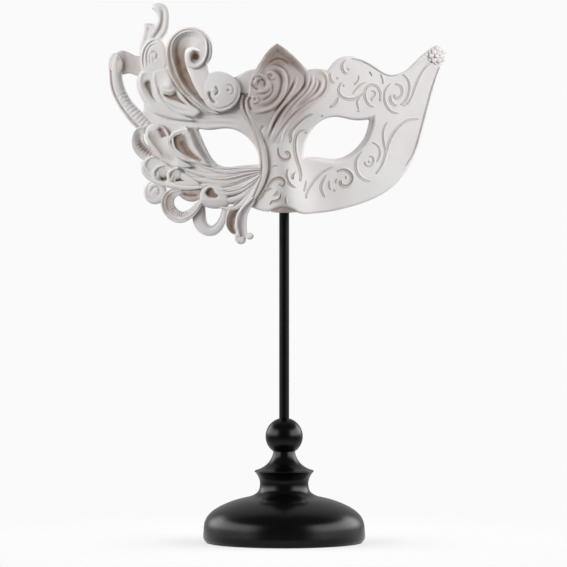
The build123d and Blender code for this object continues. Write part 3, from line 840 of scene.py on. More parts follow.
def make_outer_arm():
    """A gutter that sweeps out on the left, with a small spiral on its end, and the band that ties it
    in."""
    stations = [
        (-99.6, 297, 4.6, 3.6), (-101.2, 291.6, 7.6, 3.6), (-101.2, 285, 7.8, 3.2), (-100.6, 279, 8.2, 2.8),
        (-98.4, 272, 8.4, 2.4), (-94.4, 265.2, 8.6, 1.8), (-88.6, 258.4, 9.6, 1.4),
        (-82.6, 253.2, 9.6, 1.0),
        (-77, 250, 6, 0.6),
    ]
    # Painted shade and antiquing along the step on the outside of the arm.
    step_wash_and_shade = lambda v, s: 0.35 * np.exp(-(((v + 0.75) / 0.2) ** 2))
    arm = ribbon(stations, arm_section, 3.6, (3.4, 1.5), 25, 0.45, step_wash_and_shade)

    def button(spots, gap):
        ring = np.hypot(spots[:, 0] + 101.5, spots[:, 1] - 289.2)
        welt_round = 0.7 * np.exp(-(((ring - 2.3) / 0.7) ** 2))
        pit = 1.6 * np.exp(-((ring / 1.1) ** 2))
        return 3.7 + rounded(gap, 1.6) + welt_round - pit

    # The button's pit is painted darker: shade in the recess, with some antiquing.
    eye = lambda spots, gap: 0.55 * bump(spots, -101.5, 289.2, 1.2)
    head = plate(oval(-101.2, 290.6, 4.4, 6.4, 8.0), button, 0.3, -1.0, wash_and_shade_more=eye)
    piece = add_piece("outer_arm_carved", [arm, head], resin)
    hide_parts("outer_arm")

    def hollow(spots, gap):
        dip = smoothstep((spots[:, 0] + 101.0) / 7.0) * smoothstep((-83.0 - spots[:, 0]) / 8.0)
        return 2.8 - 3.0 * dip + rounded(gap, 1.4)

    loop = spline([(-103.6, 292), (-102, 296.4), (-97.6, 298.5), (-93.2, 297.4), (-89.2, 295.5),
                   (-84, 294.4), (-82, 289),
                   (-84, 284), (-88.4, 283.4), (-92.6, 284.8), (-96.8, 284), (-100.6, 284.6)], closed=True)
    shade = lambda spots, gap: 0.42 * smoothstep((spots[:, 0] + 99.4) / 3.6)
    band = plate(loop, hollow, 0.4, -3.6, wash_and_shade_more=shade)
    bridge = add_piece("arm_bridge_carved", [band], resin)
    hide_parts("arm_bridge")


make_outer_arm()


# %% [markdown]
# ### The cupped leaves
#
# Two leaves fill the space between the arm and the volute. Each is scooped out like a spoon, and the scoop
# is painted brown: partly antiquing left in it, partly painted shade. A pocket, which is a smooth step
# inside a closed curve, gives both the hollow and its painted tint, so that they always agree.


# %% The two cupped leaves at the brow
UPPER_CUP = ((-84.6, 279.2), (-82.8, 281.2), (-80, 281.2), (-78.4, 277.6), (-77.8, 273.8), (-76.8, 269.8),
             (-75, 266.4),
             (-79.4, 268.8), (-82.8, 273.4))
MIDDLE_CUP = ((-72.8, 272.4), (-70, 272.8), (-67.2, 272.8), (-65, 274.6), (-63.2, 272.6), (-60, 268.4),
              (-56.4, 264.8),
              (-61, 265.8), (-66, 267.6), (-70.4, 269.4))


def make_brow_leaves():
    """Two hollow leaves, one behind the other, whose long tails run into the brow."""

    def upper_relief(spots, gap):
        return 4.0 + rounded(gap, 2.2) - 2.8 * pocket(spots, 3.0, *UPPER_CUP) + strokes(
            spots,
            (0.9, 0.9, (-81.6, 285.4), (-85, 284.6), (-86.2, 280.6), (-85.4, 275.4), (-82.8, 270.6),
             (-78.6, 266)),
            (0.8, 1.0, (-80.6, 284), (-78, 280.4), (-76.8, 275.4), (-74.6, 270.4), (-70.4, 265.6),
             (-64, 261.6)),
            (-0.8, 0.6, (-88, 281), (-87.6, 276), (-85.2, 270.6), (-81, 265)),
        )

    loop = outline([(-78, 287), (-83.6, 287.6), (-87.4, 284), (-88.8, 279.4), (-87.6, 273.6),
                    (-84.4, 267.4), (-80, 262)],
                   [(-72, 258.6), (-62, 256.6), (-54, 256.6), (-62, 260.4), (-70, 266), (-74.6, 273),
                    (-75.4, 281)])
    # The cup is painted brown: shade in the hollow, with some antiquing.
    wash_and_shade = lambda spots, gap: 0.7 * pocket(spots, 3.4, *UPPER_CUP)
    piece = add_piece("upper_leaf_carved", [plate(loop, upper_relief, 0.4, -3.0, wash_and_shade_more=wash_and_shade)], resin)
    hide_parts("upper_leaf")

    def middle_relief(spots, gap):
        egg = 2.4 * bump(spots, -69.4, 277.6, 3.4)
        return 4.6 + egg + rounded(gap, 2.0) - 3.2 * pocket(spots, 2.2, *MIDDLE_CUP) + strokes(
            spots,
            (0.9, 0.8, (-74.4, 278), (-73.2, 275.2), (-70.4, 274), (-67.4, 274.2), (-65.4, 276)),
            (-0.9, 0.6, (-75.4, 277.4), (-74.8, 273.4), (-72.4, 269), (-68.4, 265.8), (-62.6, 263.4),
             (-56, 262)),
            (-0.7, 0.6, (-78.6, 279), (-77.2, 273.6), (-73.8, 268), (-68.6, 263.8), (-62, 261.4)),
            (0.7, 0.8, (-78, 285), (-77.8, 279.6), (-75.8, 272.6)),
        )

    loop = outline([(-79.6, 286.4), (-79.2, 279.6), (-77.2, 272.2), (-72.6, 265.6), (-65, 261)],
                   [(-54, 258.4), (-50.4, 261.4), (-55.2, 265.6), (-59.8, 270.4), (-63.8, 275.4),
                    (-67.2, 281), (-70.4, 287.6)])
    # The cup is painted brown: shade in the hollow, with some antiquing.
    wash_and_shade = lambda spots, gap: 1.0 * pocket(spots, 2.6, *MIDDLE_CUP)
    piece = add_piece("middle_leaf_carved", [plate(loop, middle_relief, 0.36, -2.0, wash_and_shade_more=wash_and_shade)], resin)
    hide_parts("middle_leaf")


make_brow_leaves()

# %% [markdown]
# ## The cheek: flutes, curls and loops


# %% [markdown]
# ### The fan of flutes
#
# Long rods fan out from beside the nose across the cheek, as pleats do. Each is a tapered half-round
# ribbon. They lie side by side and sink into the same face, so the grooves between them come by themselves.


# %% The fan of flutes
def flute(*points, width=3.4, lift=1.4, rise=1.8):
    """One flute of the fan: a long tapered rod that is widest two thirds of the way out."""
    count = len(points)
    share = np.linspace(0.0, 1.0, count)
    widths = width * (0.3 + 0.7 * np.sin(math.pi * np.clip(share, 0.0, 1.0) ** 0.8) ** 0.8)
    lifts = lift - 1.4 * (1.0 - smoothstep(share / 0.35))
    stations = np.column_stack([np.array(points, float), widths, lifts])
    # Painted shade and antiquing along both edges of each flute, where it sinks beside its neighbours.
    wash_and_shade_tint = lambda v, s: 0.42 * smoothstep((np.abs(v) - 0.55) / 0.4) + 0.0 * s
    return ribbon(stations, bead(rise), 2.6, (0.8, 2.5), 13, 0.7, wash_and_shade_tint)


def make_cheek_flutes():
    """Long tapered rods that leave the side of the nose together and spread over the cheek."""
    fan = [
        flute((-13, 227.4), (-21, 228.3), (-28, 228.1), (-35, 227.8), (-41, 229), width=1.8, lift=0.8),
        flute((-13, 226.6), (-23, 227.2), (-31, 226.2), (-39, 226.2), (-48, 228.8), (-57, 232.4), width=2.4,
              lift=1.0),
        flute((-13, 225.8), (-24, 225.4), (-32, 223.8), (-42, 223.2), (-53, 225.4), (-64, 229), width=4.2,
              lift=1.2),
        flute((-13, 225.4), (-24, 223.2), (-32, 220.8), (-43, 220.2), (-54, 221.4), (-62, 223.5), width=4.2,
              lift=1.0),
        flute((-13, 225), (-24, 221), (-32, 218.4), (-42, 217.8), (-54, 217.6), (-66, 218.4), width=3.0,
              lift=1.6),
        flute((-13, 224.6), (-23, 219), (-30, 216.2), (-37, 215.2), (-42.6, 215.6), width=2.8, lift=2.2),
        flute((-13, 224.2), (-21.5, 217.4), (-28, 213.8), (-35, 212.6), (-41.4, 213.2), width=2.8,
              lift=2.6),
        flute((-13, 224), (-20, 216.4), (-25.5, 211.2), (-32, 208.8), (-38.6, 208.4), (-44, 207.2),
              width=4.0, lift=1.9),
        flute((-13, 224.2), (-18.8, 215.8), (-23.4, 209), (-28.6, 204.6), (-34, 203.6), (-40, 205),
              width=3.6, lift=1.6),
        flute((-13, 225), (-17.4, 215.8), (-20.8, 209.4), (-24.8, 204.2), (-27.6, 200.4), width=2.8,
              lift=2.4),
        flute((-13, 226.8), (-24, 226.4), (-32, 225), (-41, 224.8), width=1.5, lift=2.0),
        flute((-13, 226), (-24, 224.2), (-32, 222.2), (-41, 221.6), (-48, 222.4), width=1.5, lift=2.2),
        flute((-13, 225.2), (-24, 222), (-31, 219.4), (-39, 218.8), (-46, 219.2), width=1.5, lift=2.3),
        flute((-13, 225), (-22.6, 218.2), (-29, 215.2), (-36, 214), width=1.4, lift=3.0),
    ]
    piece = add_piece("cheek_flutes_carved", fan, resin)
    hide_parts("cheek_flutes")


make_cheek_flutes()


# %% [markdown]
# ### The hollow of the flutes
#
# The lowest flutes end in a sheet that rolls over and leaves a deep brown hollow. It is a plate with a
# pocket, and the flutes' tips run into it.


# %% The hollow behind the flutes' ends
def make_flute_curl():
    """The sheet that rolls up at the end of the flutes: its deep brown hollow, and the pale roll
    outside it."""

    hollow = ((-47.6, 213), (-46.4, 215.8), (-44, 216.8), (-41.8, 215.6), (-40.6, 213.6), (-38.8, 211.6),
              (-39.6, 209.8),
              (-43, 209.4), (-46.2, 210.6))

    def cup(spots, gap):
        return 3.2 + rounded(gap, 2.6) - 3.0 * pocket(spots, 1.6, *hollow)

    # Painted shade and antiquing: the hollow brown, and darker towards the lower edge.
    def wash_and_shade(spots, gap):
        return 1.0 * pocket(spots, 2.6, *hollow) + 0.2 * smoothstep((209.4 - spots[:, 1]) / 1.5)

    loop = spline([(-38, 217.6), (-44, 218.4), (-48.8, 216.6), (-50.8, 212), (-50.4, 207), (-45, 204),
                   (-38, 203.8),
                   (-33, 206), (-33.6, 212)], closed=True)
    shell = plate(loop, cup, 0.36, -1.5, wash_and_shade_more=wash_and_shade)
    piece = add_piece("flute_curl_carved", [shell], resin)
    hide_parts("flute_curl")


make_flute_curl()


# %% [markdown]
# ### The teardrop cup
#
# The cup beside the left eye is the darkest hollow of the mask. Its bowl is an ellipsoid's, deepest at its
# upper end, and two raised lines follow its rim.


# %% The teardrop cup beside the eye
def make_eye_leaf():
    """A deep teardrop cup with a double rim, dark along its far wall."""
    wall = ((-60.6, 242.6), (-58.6, 239.2), (-56.2, 236.4), (-53.4, 234.4), (-50.8, 232.8))

    def cup(spots, gap):
        bowl = np.clip(1.0 - ((spots[:, 0] + 60.6 + 0.75 * (spots[:, 1] - 241.5)) / 6.6) ** 2
                       - ((spots[:, 1] - 241.6) / 9.6) ** 2, 0.0, 1.0)
        return 4.2 + rounded(gap, 1.4) - 2.8 * np.sqrt(bowl) - 1.2 * nearby(spots, 1.5, *wall)

    # Painted shade and antiquing: the whole cup darker away from its rim, darkest along the far wall.
    def wash_and_shade(spots, gap):
        return 0.68 * smoothstep((gap - 1.2) / 3.4) + 0.8 * nearby(spots, 1.5, *wall)

    loop = outline([(-57.8, 251.8), (-55.8, 245.6), (-54.2, 240.8), (-51.4, 236.6), (-48, 232),
                    (-45.4, 229.6)],
                   [(-52, 230.8), (-60, 232.4), (-65.6, 235.8), (-69, 240.6), (-69.8, 245.4),
                    (-67.6, 249.2), (-63, 250.6)])
    shells = [plate(loop, cup, 0.36, -3.4, wash_and_shade_more=wash_and_shade)]
    for inset, width, lift in ((0.0, 1.7, 4.0), (2.2, 1.5, 3.7)):
        rim = [(-57.8, 250.8, 0.9, 3.2), (-62.6, 250.1 - 0.5 * inset, width, lift),
               (-67, 248 - 0.8 * inset, width, lift),
               (-69 + inset, 244, width, lift), (-67.6 + inset, 239.6, width, lift),
               (-63.8 + 0.7 * inset, 235.4 + 0.6 * inset, width, lift),
               (-58.6, 232.8 + 0.6 * inset, width, lift - 0.4), (-52, 231.4 + 0.2 * inset, 1.0, 2.8)]
        shells.append(ribbon(rim, bead(1.0), 2.2, (1.5, 2.0), 11, 0.5))
    far = [(-59.4, 253.6, 1.0, 2.6), (-58, 250, 2.2, 3.0), (-56.2, 245.4, 2.0, 3.2),
           (-54.2, 240.8, 1.8, 3.2),
           (-51, 236, 1.6, 3.0), (-47, 231, 1.2, 2.4), (-44, 228.6, 0.8, 1.6)]
    shells.append(ribbon(far, bead(1.0), 2.2, (1.5, 2.0), 11, 0.5))
    piece = add_piece("eye_leaf_carved", shells, resin)
    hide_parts("eye_leaf")


make_eye_leaf()


# %% [markdown]
# ### The temple leaf
#
# A broad tongue that lies over its neighbours, with a trough down its middle. It is a plate with soft
# ridges.


# %% The broad leaf at the temple
def make_temple_leaf():
    """A broad leaf that rolls over at its top: a sharp ridge on its left, a tongue, and a hollow
    beside the tongue."""
    hollow = ((-76.4, 251), (-75, 253), (-72.4, 252.6), (-70.2, 250), (-69, 246.8), (-71, 245.4),
              (-74, 245.4), (-75.2, 247.8))

    def relief(spots, gap):
        trough = 1.5 * nearby(spots, 3.4, (-77.4, 246), (-75.8, 241.4), (-72.6, 237), (-68, 233.4))
        return 4.4 + rounded(gap, 1.8) - trough - 2.2 * pocket(spots, 2.2, *hollow) + strokes(
            spots,
            (1.1, 1.0, (-81, 251), (-82, 247.4), (-79.8, 243.2), (-77, 239.6), (-74.6, 236.4),
             (-73.8, 233.6)),
            (0.7, 1.2, (-80, 251.4), (-78, 250.2), (-76.6, 247.6), (-75.6, 245)),
            (0.7, 0.9, (-69.6, 247.4), (-69.4, 242.6), (-67.4, 237.8), (-63.8, 233.4), (-58, 230)),
        )

    loop = outline([(-83.4, 250), (-81.4, 253.2), (-77.6, 254.8), (-73, 253.6), (-70, 250.4), (-68.4, 246),
                    (-68, 240.4),
                    (-65.4, 236), (-60.4, 232.4)],
                   [(-54.6, 229), (-60, 228), (-66, 229), (-71.4, 231.2), (-75.6, 234.4), (-79.4, 239.4),
                    (-82.8, 244.6)])

    # Painted shade and antiquing in the hollow beside the tongue and along the trough.
    def wash_and_shade(spots, gap):
        return 0.75 * pocket(spots, 3.6, *hollow) + 0.3 * nearby(spots, 3.4, (-77.4, 246), (-74.6, 239),
                                                                 (-70, 234.6))

    piece = add_piece("temple_leaf_carved", [plate(loop, relief, 0.36, -1.0, wash_and_shade_more=wash_and_shade)], resin)
    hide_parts("temple_leaf")


make_temple_leaf()


# %% [markdown]
# ### The ribbed curl
#
# A gutter that curls over at the temple, then runs down between the leaf and the rolled curls. Its ribs are
# a cosine along the curve, which is how a modeller would press a comb into it.


# %% The ribbed curl at the temple
def make_ribbed_curl():
    """A gutter that curls over at the temple, ribbed where it runs down to the cheek."""
    stations = [
        (-82.6, 250.6, 3.0, 2.0), (-86.4, 250, 5.4, 2.6), (-87.8, 246, 7.2, 2.8), (-86.8, 241, 8.4, 2.8),
        (-82.6, 236.8, 9.2, 2.8), (-77.4, 233.2, 8.6, 3.2), (-72, 230.4, 7.6, 3.4), (-67, 227.6, 6.4, 3.4),
        (-61, 224.6, 3.2, 2.4),
    ]

    def section(v, s):
        rims = 0.8 * np.exp(-(((v + 0.86) / 0.12) ** 2)) + 0.6 * np.exp(-(((v + 0.56) / 0.12) ** 2))
        trough = -1.7 * np.exp(-(((v - 0.25) / 0.5) ** 2)) * smoothstep((s - 3.0) / 5.0)
        edge = 1.0 * smoothstep((np.abs(v) - 0.9) / 0.1)
        ribs = cross_ribs(1.9, 0.34, 9.0, 38.0)(s)
        return rims + trough - edge + ribs * smoothstep((v + 0.45) / 0.2)

    # Painted shade and antiquing down the middle of the gutter, deepest where it turns down.
    def wash_and_shade_tint(v, s):
        deep = 0.6 * np.exp(-(((v - 0.3) / 0.45) ** 2))
        deep = deep * smoothstep((s - 7.0) / 5.0) * smoothstep((24.0 - s) / 8.0)
        return deep + 0.2 * np.exp(-(((v - 0.2) / 0.5) ** 2))

    piece = add_piece("ribbed_curl_carved", [ribbon(stations, section, 3.6, (2.0, 2.0), 25, 0.45, wash_and_shade_tint)],
                      resin)
    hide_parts("ribbed_curl")


make_ribbed_curl()


# %% [markdown]
# ### The rolled curls
#
# Three small discs, each with a rolled edge and a bead in the roll, overlap like scales. One loop makes all
# three, since only their places and sizes differ.


# %% Three small rolled curls
def make_bead_curls():
    """Each is a disc with a rolled edge on its left and a small round head in the roll, over a brown
    hollow."""
    shells = []
    for a, b, size, lift in ((-78.6, 231.4, 0.95, 3.4), (-73.2, 226.0, 1.0, 4.2), (-64.8, 224.6, 0.9, 4.4)):
        disc = lambda spots, gap, top=lift: top + rounded(gap, 2.4)
        head = lambda spots, gap, top=lift: top + 0.4 + rounded(gap, 1.7)
        # Each disc is painted a little darker all over, as shade and antiquing.
        disc_wash_and_shade = lambda spots, gap: 0.22 + 0.0 * gap
        shells.append(plate(oval(a, b, 4.3 * size, 3.6 * size, -30.0), disc, 0.36, -1.0, wash_and_shade_more=disc_wash_and_shade))
        roll = [(a + 1.8 * size, b + 3.4 * size, 1.0, lift - 0.4),
                (a - 1.6 * size, b + 3.0 * size, 1.7, lift + 0.4),
                (a - 4.8 * size, b + 0.6 * size, 2.1, lift + 0.7),
                (a - 5.0 * size, b - 2.8 * size, 2.1, lift + 0.6),
                (a - 1.8 * size, b - 5.2 * size, 1.6, lift)]
        shells.append(ribbon(roll, bead(1.1), 3.4, (1.4, 1.4), 13, 0.4))
        shells.append(plate(oval(a - 2.6 * size, b - 2.2 * size, 1.7 * size, 2.0 * size, step=0.3), head,
                            0.3, -0.5))
    piece = add_piece("bead_scrolls_carved", shells, resin)
    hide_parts("bead_scrolls")


make_bead_curls()


# %% [markdown]
# ### The lower leaf
#
# The leaf under the rolled curls gathers them to the cheek. Two hollows are sunk between the beads. The
# small volute below it is a separate round boss.


# %% The lower leaf and the small volute
HOLLOWS = (((-74.6, 221), (-73.6, 224.6), (-70.4, 224.8), (-69.4, 222), (-70.6, 219.8)),
           ((-65.6, 220), (-63.4, 223), (-61.6, 222), (-59.4, 219.9), (-62.4, 219.4)))


def make_lower_leaf():
    """The leaf under the three curls: two brown hollows and a rolled lower edge."""

    def relief(spots, gap):
        line = (-0.8, 0.7, (-72, 219.6), (-66, 217.4), (-57, 216.6), (-49, 217.4))
        sunk = sum(pocket(spots, 1.4, *hollow) for hollow in HOLLOWS)
        return 3.8 + rounded(gap, 1.8) - 3.0 * sunk + strokes(spots, line)

    loop = outline([(-86, 231.5), (-85.4, 226), (-81.6, 221), (-74, 217.4), (-62, 215)],
                   [(-48, 215.8), (-53, 221), (-60, 225), (-68, 229), (-76, 234), (-82, 235)])
    edge = [(-85, 230.4, 2.0, 3.2), (-84, 225.6, 2.8, 3.4), (-79.4, 221, 2.8, 3.8), (-73, 218.4, 2.6, 4.2),
            (-64, 216.6, 2.6, 3.6), (-55, 216, 2.2, 3.2), (-47.4, 216.8, 1.2, 2.6)]
    # The two hollows are painted brown: shade in them, with some antiquing.
    wash_and_shade = lambda spots, gap: 0.95 * sum(pocket(spots, 1.8, *hollow) for hollow in HOLLOWS)
    shells = [plate(loop, relief, 0.36, -3.0, wash_and_shade_more=wash_and_shade),
              ribbon(edge, bead(1.2), 2.6, (1.5, 2.0), 13, 0.5)]
    piece = add_piece("lower_leaf_carved", shells, resin)
    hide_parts("lower_leaf")


def make_small_volute():
    """A round boss with a soft spiral on it, low on the left."""

    def relief(spots, gap):
        return 1.8 + rounded(gap, 2.4) + strokes(
            spots,
            (-0.8, 0.9, (-76, 220), (-80.4, 218.6), (-82.2, 214.6), (-81, 210.4), (-77.4, 208.4)),
            (-0.7, 0.7, (-79.6, 212), (-79.2, 215.4), (-76.4, 216.4), (-74.8, 214), (-76, 211.8),
             (-77.4, 212.8)),
        )

    piece = add_piece("small_volute_carved", [plate(oval(-77.4, 213.6, 7.0, 7.4), relief, 0.36, -3.4)],
                      resin)
    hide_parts("small_volute")


make_lower_leaf()
make_small_volute()


# %% [markdown]
# ### The loops
#
# Two ribbons hang under the cheek and turn back up, with daylight through them. The front one is a ribbed
# gutter. The back one is plain.


# %% The two ribbon loops under the cheek
def make_front_loop():
    """A ribbed ribbon that hangs below the cheek and turns back up under the flutes' ends."""
    stations = [
        (-61, 213.4, 3.4, 1.6), (-65.6, 213.2, 5.6, 2.0), (-69.4, 210, 7.6, 2.4), (-69.6, 204.8, 8.0, 2.8),
        (-67, 200.8, 8.0, 2.8), (-62.6, 198.6, 7.2, 2.8), (-57.6, 200, 6.0, 2.6), (-53, 204, 4.6, 2.4),
        (-49.6, 208.6, 2.6, 2.2),
    ]

    def section(v, s):
        ribs = cross_ribs(1.7, 0.42, 13.0, 33.0)(s) * smoothstep((v + 0.05) / 0.2)
        ridge = 0.9 * np.exp(-(((v + 0.35) / 0.14) ** 2)) + 0.6 * np.exp(-(((v + 0.82) / 0.14) ** 2))
        return ridge - 1.3 * smoothstep((np.abs(v) - 0.86) / 0.14) + ribs - 0.5 * v * (v > 0)

    # Painted shade and antiquing over the middle of the loop.
    wash_and_shade_tint = lambda v, s: 0.5 * smoothstep((24.0 - s) / 10.0) * smoothstep((s - 4.0) / 5.0) + 0.0 * v
    loop = ribbon(stations, section, 3.4, (1.5, 1.5), 25, 0.42, wash_and_shade_tint)

    def strip(spots, gap):
        return 1.6 + rounded(gap, 1.0) + strokes(spots, (-1.6, 0.8, (-61, 213), (-57.4, 211.6),
                                                         (-51.4, 211.8)))

    # The strip under the flutes' ends is painted darker all over: shade there, with some antiquing.
    upper = plate(outline([(-66, 215.6), (-58, 215), (-50, 214.6)],
                          [(-50.2, 209.6), (-54, 207.8), (-58, 208.2), (-62, 210.4)]),
                  strip, 0.36, -1.6, wash_and_shade_more=lambda spots, gap: 0.55 + 0.0 * gap)
    piece = add_piece("front_loop_carved", [loop, upper], resin)
    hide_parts("front_loop")


def make_back_loop():
    """A plain ribbon that loops behind the first, lower down."""
    stations = [
        (-50.6, 207, 6.4, -0.4), (-51.1, 201, 8.0, -0.4), (-50.4, 195.4, 8.0, -0.2),
        (-47.4, 191.4, 7.2, 0.0),
        (-43.2, 190.4, 6.2, 0.2), (-39.2, 193.2, 5.4, 0.6), (-36.8, 198, 4.2, 0.8), (-35.8, 203, 3.4, 0.8),
        (-35.6, 207, 3.0, 0.6),
    ]

    def section(v, s):
        line = 0.7 * np.exp(-(((v - 0.66) / 0.22) ** 2)) * smoothstep((s - 6.0) / 6.0)
        return 0.5 * (1.0 - v**2) - line - 0.6 * v**4

    # Painted shade and antiquing: darker at the loop's start and along the line on its left.
    wash_and_shade_tint = lambda v, s: 0.4 * smoothstep((14.0 - s) / 8.0) + 0.25 * np.exp(-(((v - 0.7) / 0.2) ** 2))
    piece = add_piece("back_loop_carved", [ribbon(stations, section, 3.2, (1.0, 1.0), 19, 0.5, wash_and_shade_tint)],
                      resin)
    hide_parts("back_loop")


make_front_loop()
make_back_loop()


# %% [markdown]
# ### The foot leaf
#
# The lowest ornament is a narrow leaf with an olive-brown inside, next to a stem that ends in two small
# curls.


# %% The foot leaf and its scroll
def make_foot_leaf():
    """A narrow hollow leaf that hangs lowest, and the stem beside it that ends in two curls."""
    leaf = [
        (-22, 212, 2.6, 2.4), (-26, 206.4, 5.4, 2.8), (-29.8, 201.2, 7.2, 3.0), (-31.8, 195.6, 6.8, 3.0),
        (-31, 190.8, 4.2, 2.8), (-29, 188.4, 1.8, 2.6),
    ]
    # The leaf's hollow is painted olive-brown: shade in it, with some antiquing.
    shell = ribbon(leaf, gutter(3.4, 0.7), 3.4, (2.0, 1.5), 21, 0.45,
                   lambda v, s: 0.9 * np.exp(-(((v - 0.25) / 0.5) ** 2)) * smoothstep((s - 5.0) / 8.0))
    piece = add_piece("foot_leaf_carved", [shell], resin)
    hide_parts("foot_leaf")
    ridge = [(-18.4, 210.6, 1.2, 3.2), (-23.4, 205.8, 1.8, 3.6), (-27, 201, 2.0, 3.8),
             (-28.4, 195.4, 2.0, 3.8),
             (-27.8, 190, 2.0, 3.8), (-26.6, 186, 1.8, 3.8)]
    stem = [(-17.4, 209.4, 1.6, 2.6), (-21, 205, 2.8, 2.8), (-24, 200, 4.2, 2.8), (-25, 194.6, 5.0, 2.8),
            (-24.6, 189.4, 4.8, 3.0), (-22.6, 187, 3.4, 3.4), (-20.4, 187, 2.4, 3.6)]
    curl = [(-28.8, 189, 1.4, 3.4), (-28.6, 186.6, 2.2, 3.6), (-28, 184.4, 2.4, 3.6),
            (-26.4, 183.4, 1.8, 3.6)]
    shells = [ribbon(ridge, bead(1.2), 2.8, (1.5, 1.5), 13, 0.45),
              ribbon(stem, gutter(0.9, 0.4), 3.0, (1.5, 1.6), 17, 0.45),
              ribbon(curl, bead(1.0), 2.8, (1.0, 1.0), 13, 0.4)]
    for a, b, wide, high in ((-20.6, 187.1, 2.4, 2.1), (-26.0, 184.8, 3.0, 2.6)):
        shells.append(plate(oval(a, b, wide, high), lambda spots, gap: 4.0 + rounded(gap, 1.8), 0.33, 0.6))
    piece = add_piece("foot_scroll_carved", shells, resin)
    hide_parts("foot_scroll")


make_foot_leaf()


# %% [markdown]
# ### The nose stem
#
# A stem divides the two halves of the mask. It starts at the crest, follows the left of the nose and goes
# out over the cheek. Two half-round ribbons side by side give it the groove between them.


# %% The nose stem
def make_nose_stem():
    """One broad stem from the brow along the nose and out over the cheek, with a thin one on its left."""
    left = [(-24.6, 272.4, 1.4, 2.2), (-25.8, 266.6, 2.4, 2.4), (-23.8, 260, 2.6, 2.4),
            (-20.4, 254.4, 2.4, 2.2),
            (-17.2, 247.4, 2.0, 1.8), (-15.2, 240.4, 1.8, 1.4), (-14.2, 233.4, 1.6, 1.2),
            (-14.4, 226.6, 1.4, 1.2)]
    right = [(-22, 271, 1.6, 2.6), (-22.4, 266, 2.8, 3.0), (-20.4, 260, 3.2, 3.0), (-17.4, 253.6, 3.4, 2.8),
             (-14.6, 246.4, 3.4, 2.4), (-12.6, 239.4, 3.6, 2.2), (-11.6, 232, 3.8, 2.2),
             (-11.6, 226, 3.6, 2.2),
             (-13, 219.6, 3.2, 2.2), (-16.2, 212.8, 2.6, 2.0), (-20.4, 206.6, 1.6, 1.8)]
    # The stems are painted darker all over, and darker still along one edge: painted shade, with some
    # antiquing.
    wash_and_shade_tint = lambda v, s: 0.3 + 0.35 * smoothstep(-v - 0.2) + 0.0 * s
    shells = [ribbon(row, bead(1.1), 2.8, (2.0, 2.5), 15, 0.55, wash_and_shade_tint) for row in (left, right)]
    piece = add_piece("nose_stem_carved", shells, resin)
    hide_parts("nose_stem")


make_nose_stem()

# %% [markdown]
# ## The crest
#
# The crest is one plate, deeply carved. Its design is a pair of curls inside two hooked bands, with a
# raised border that comes to a point. On its right a band hooks over, and all the folds run together down
# the nose.


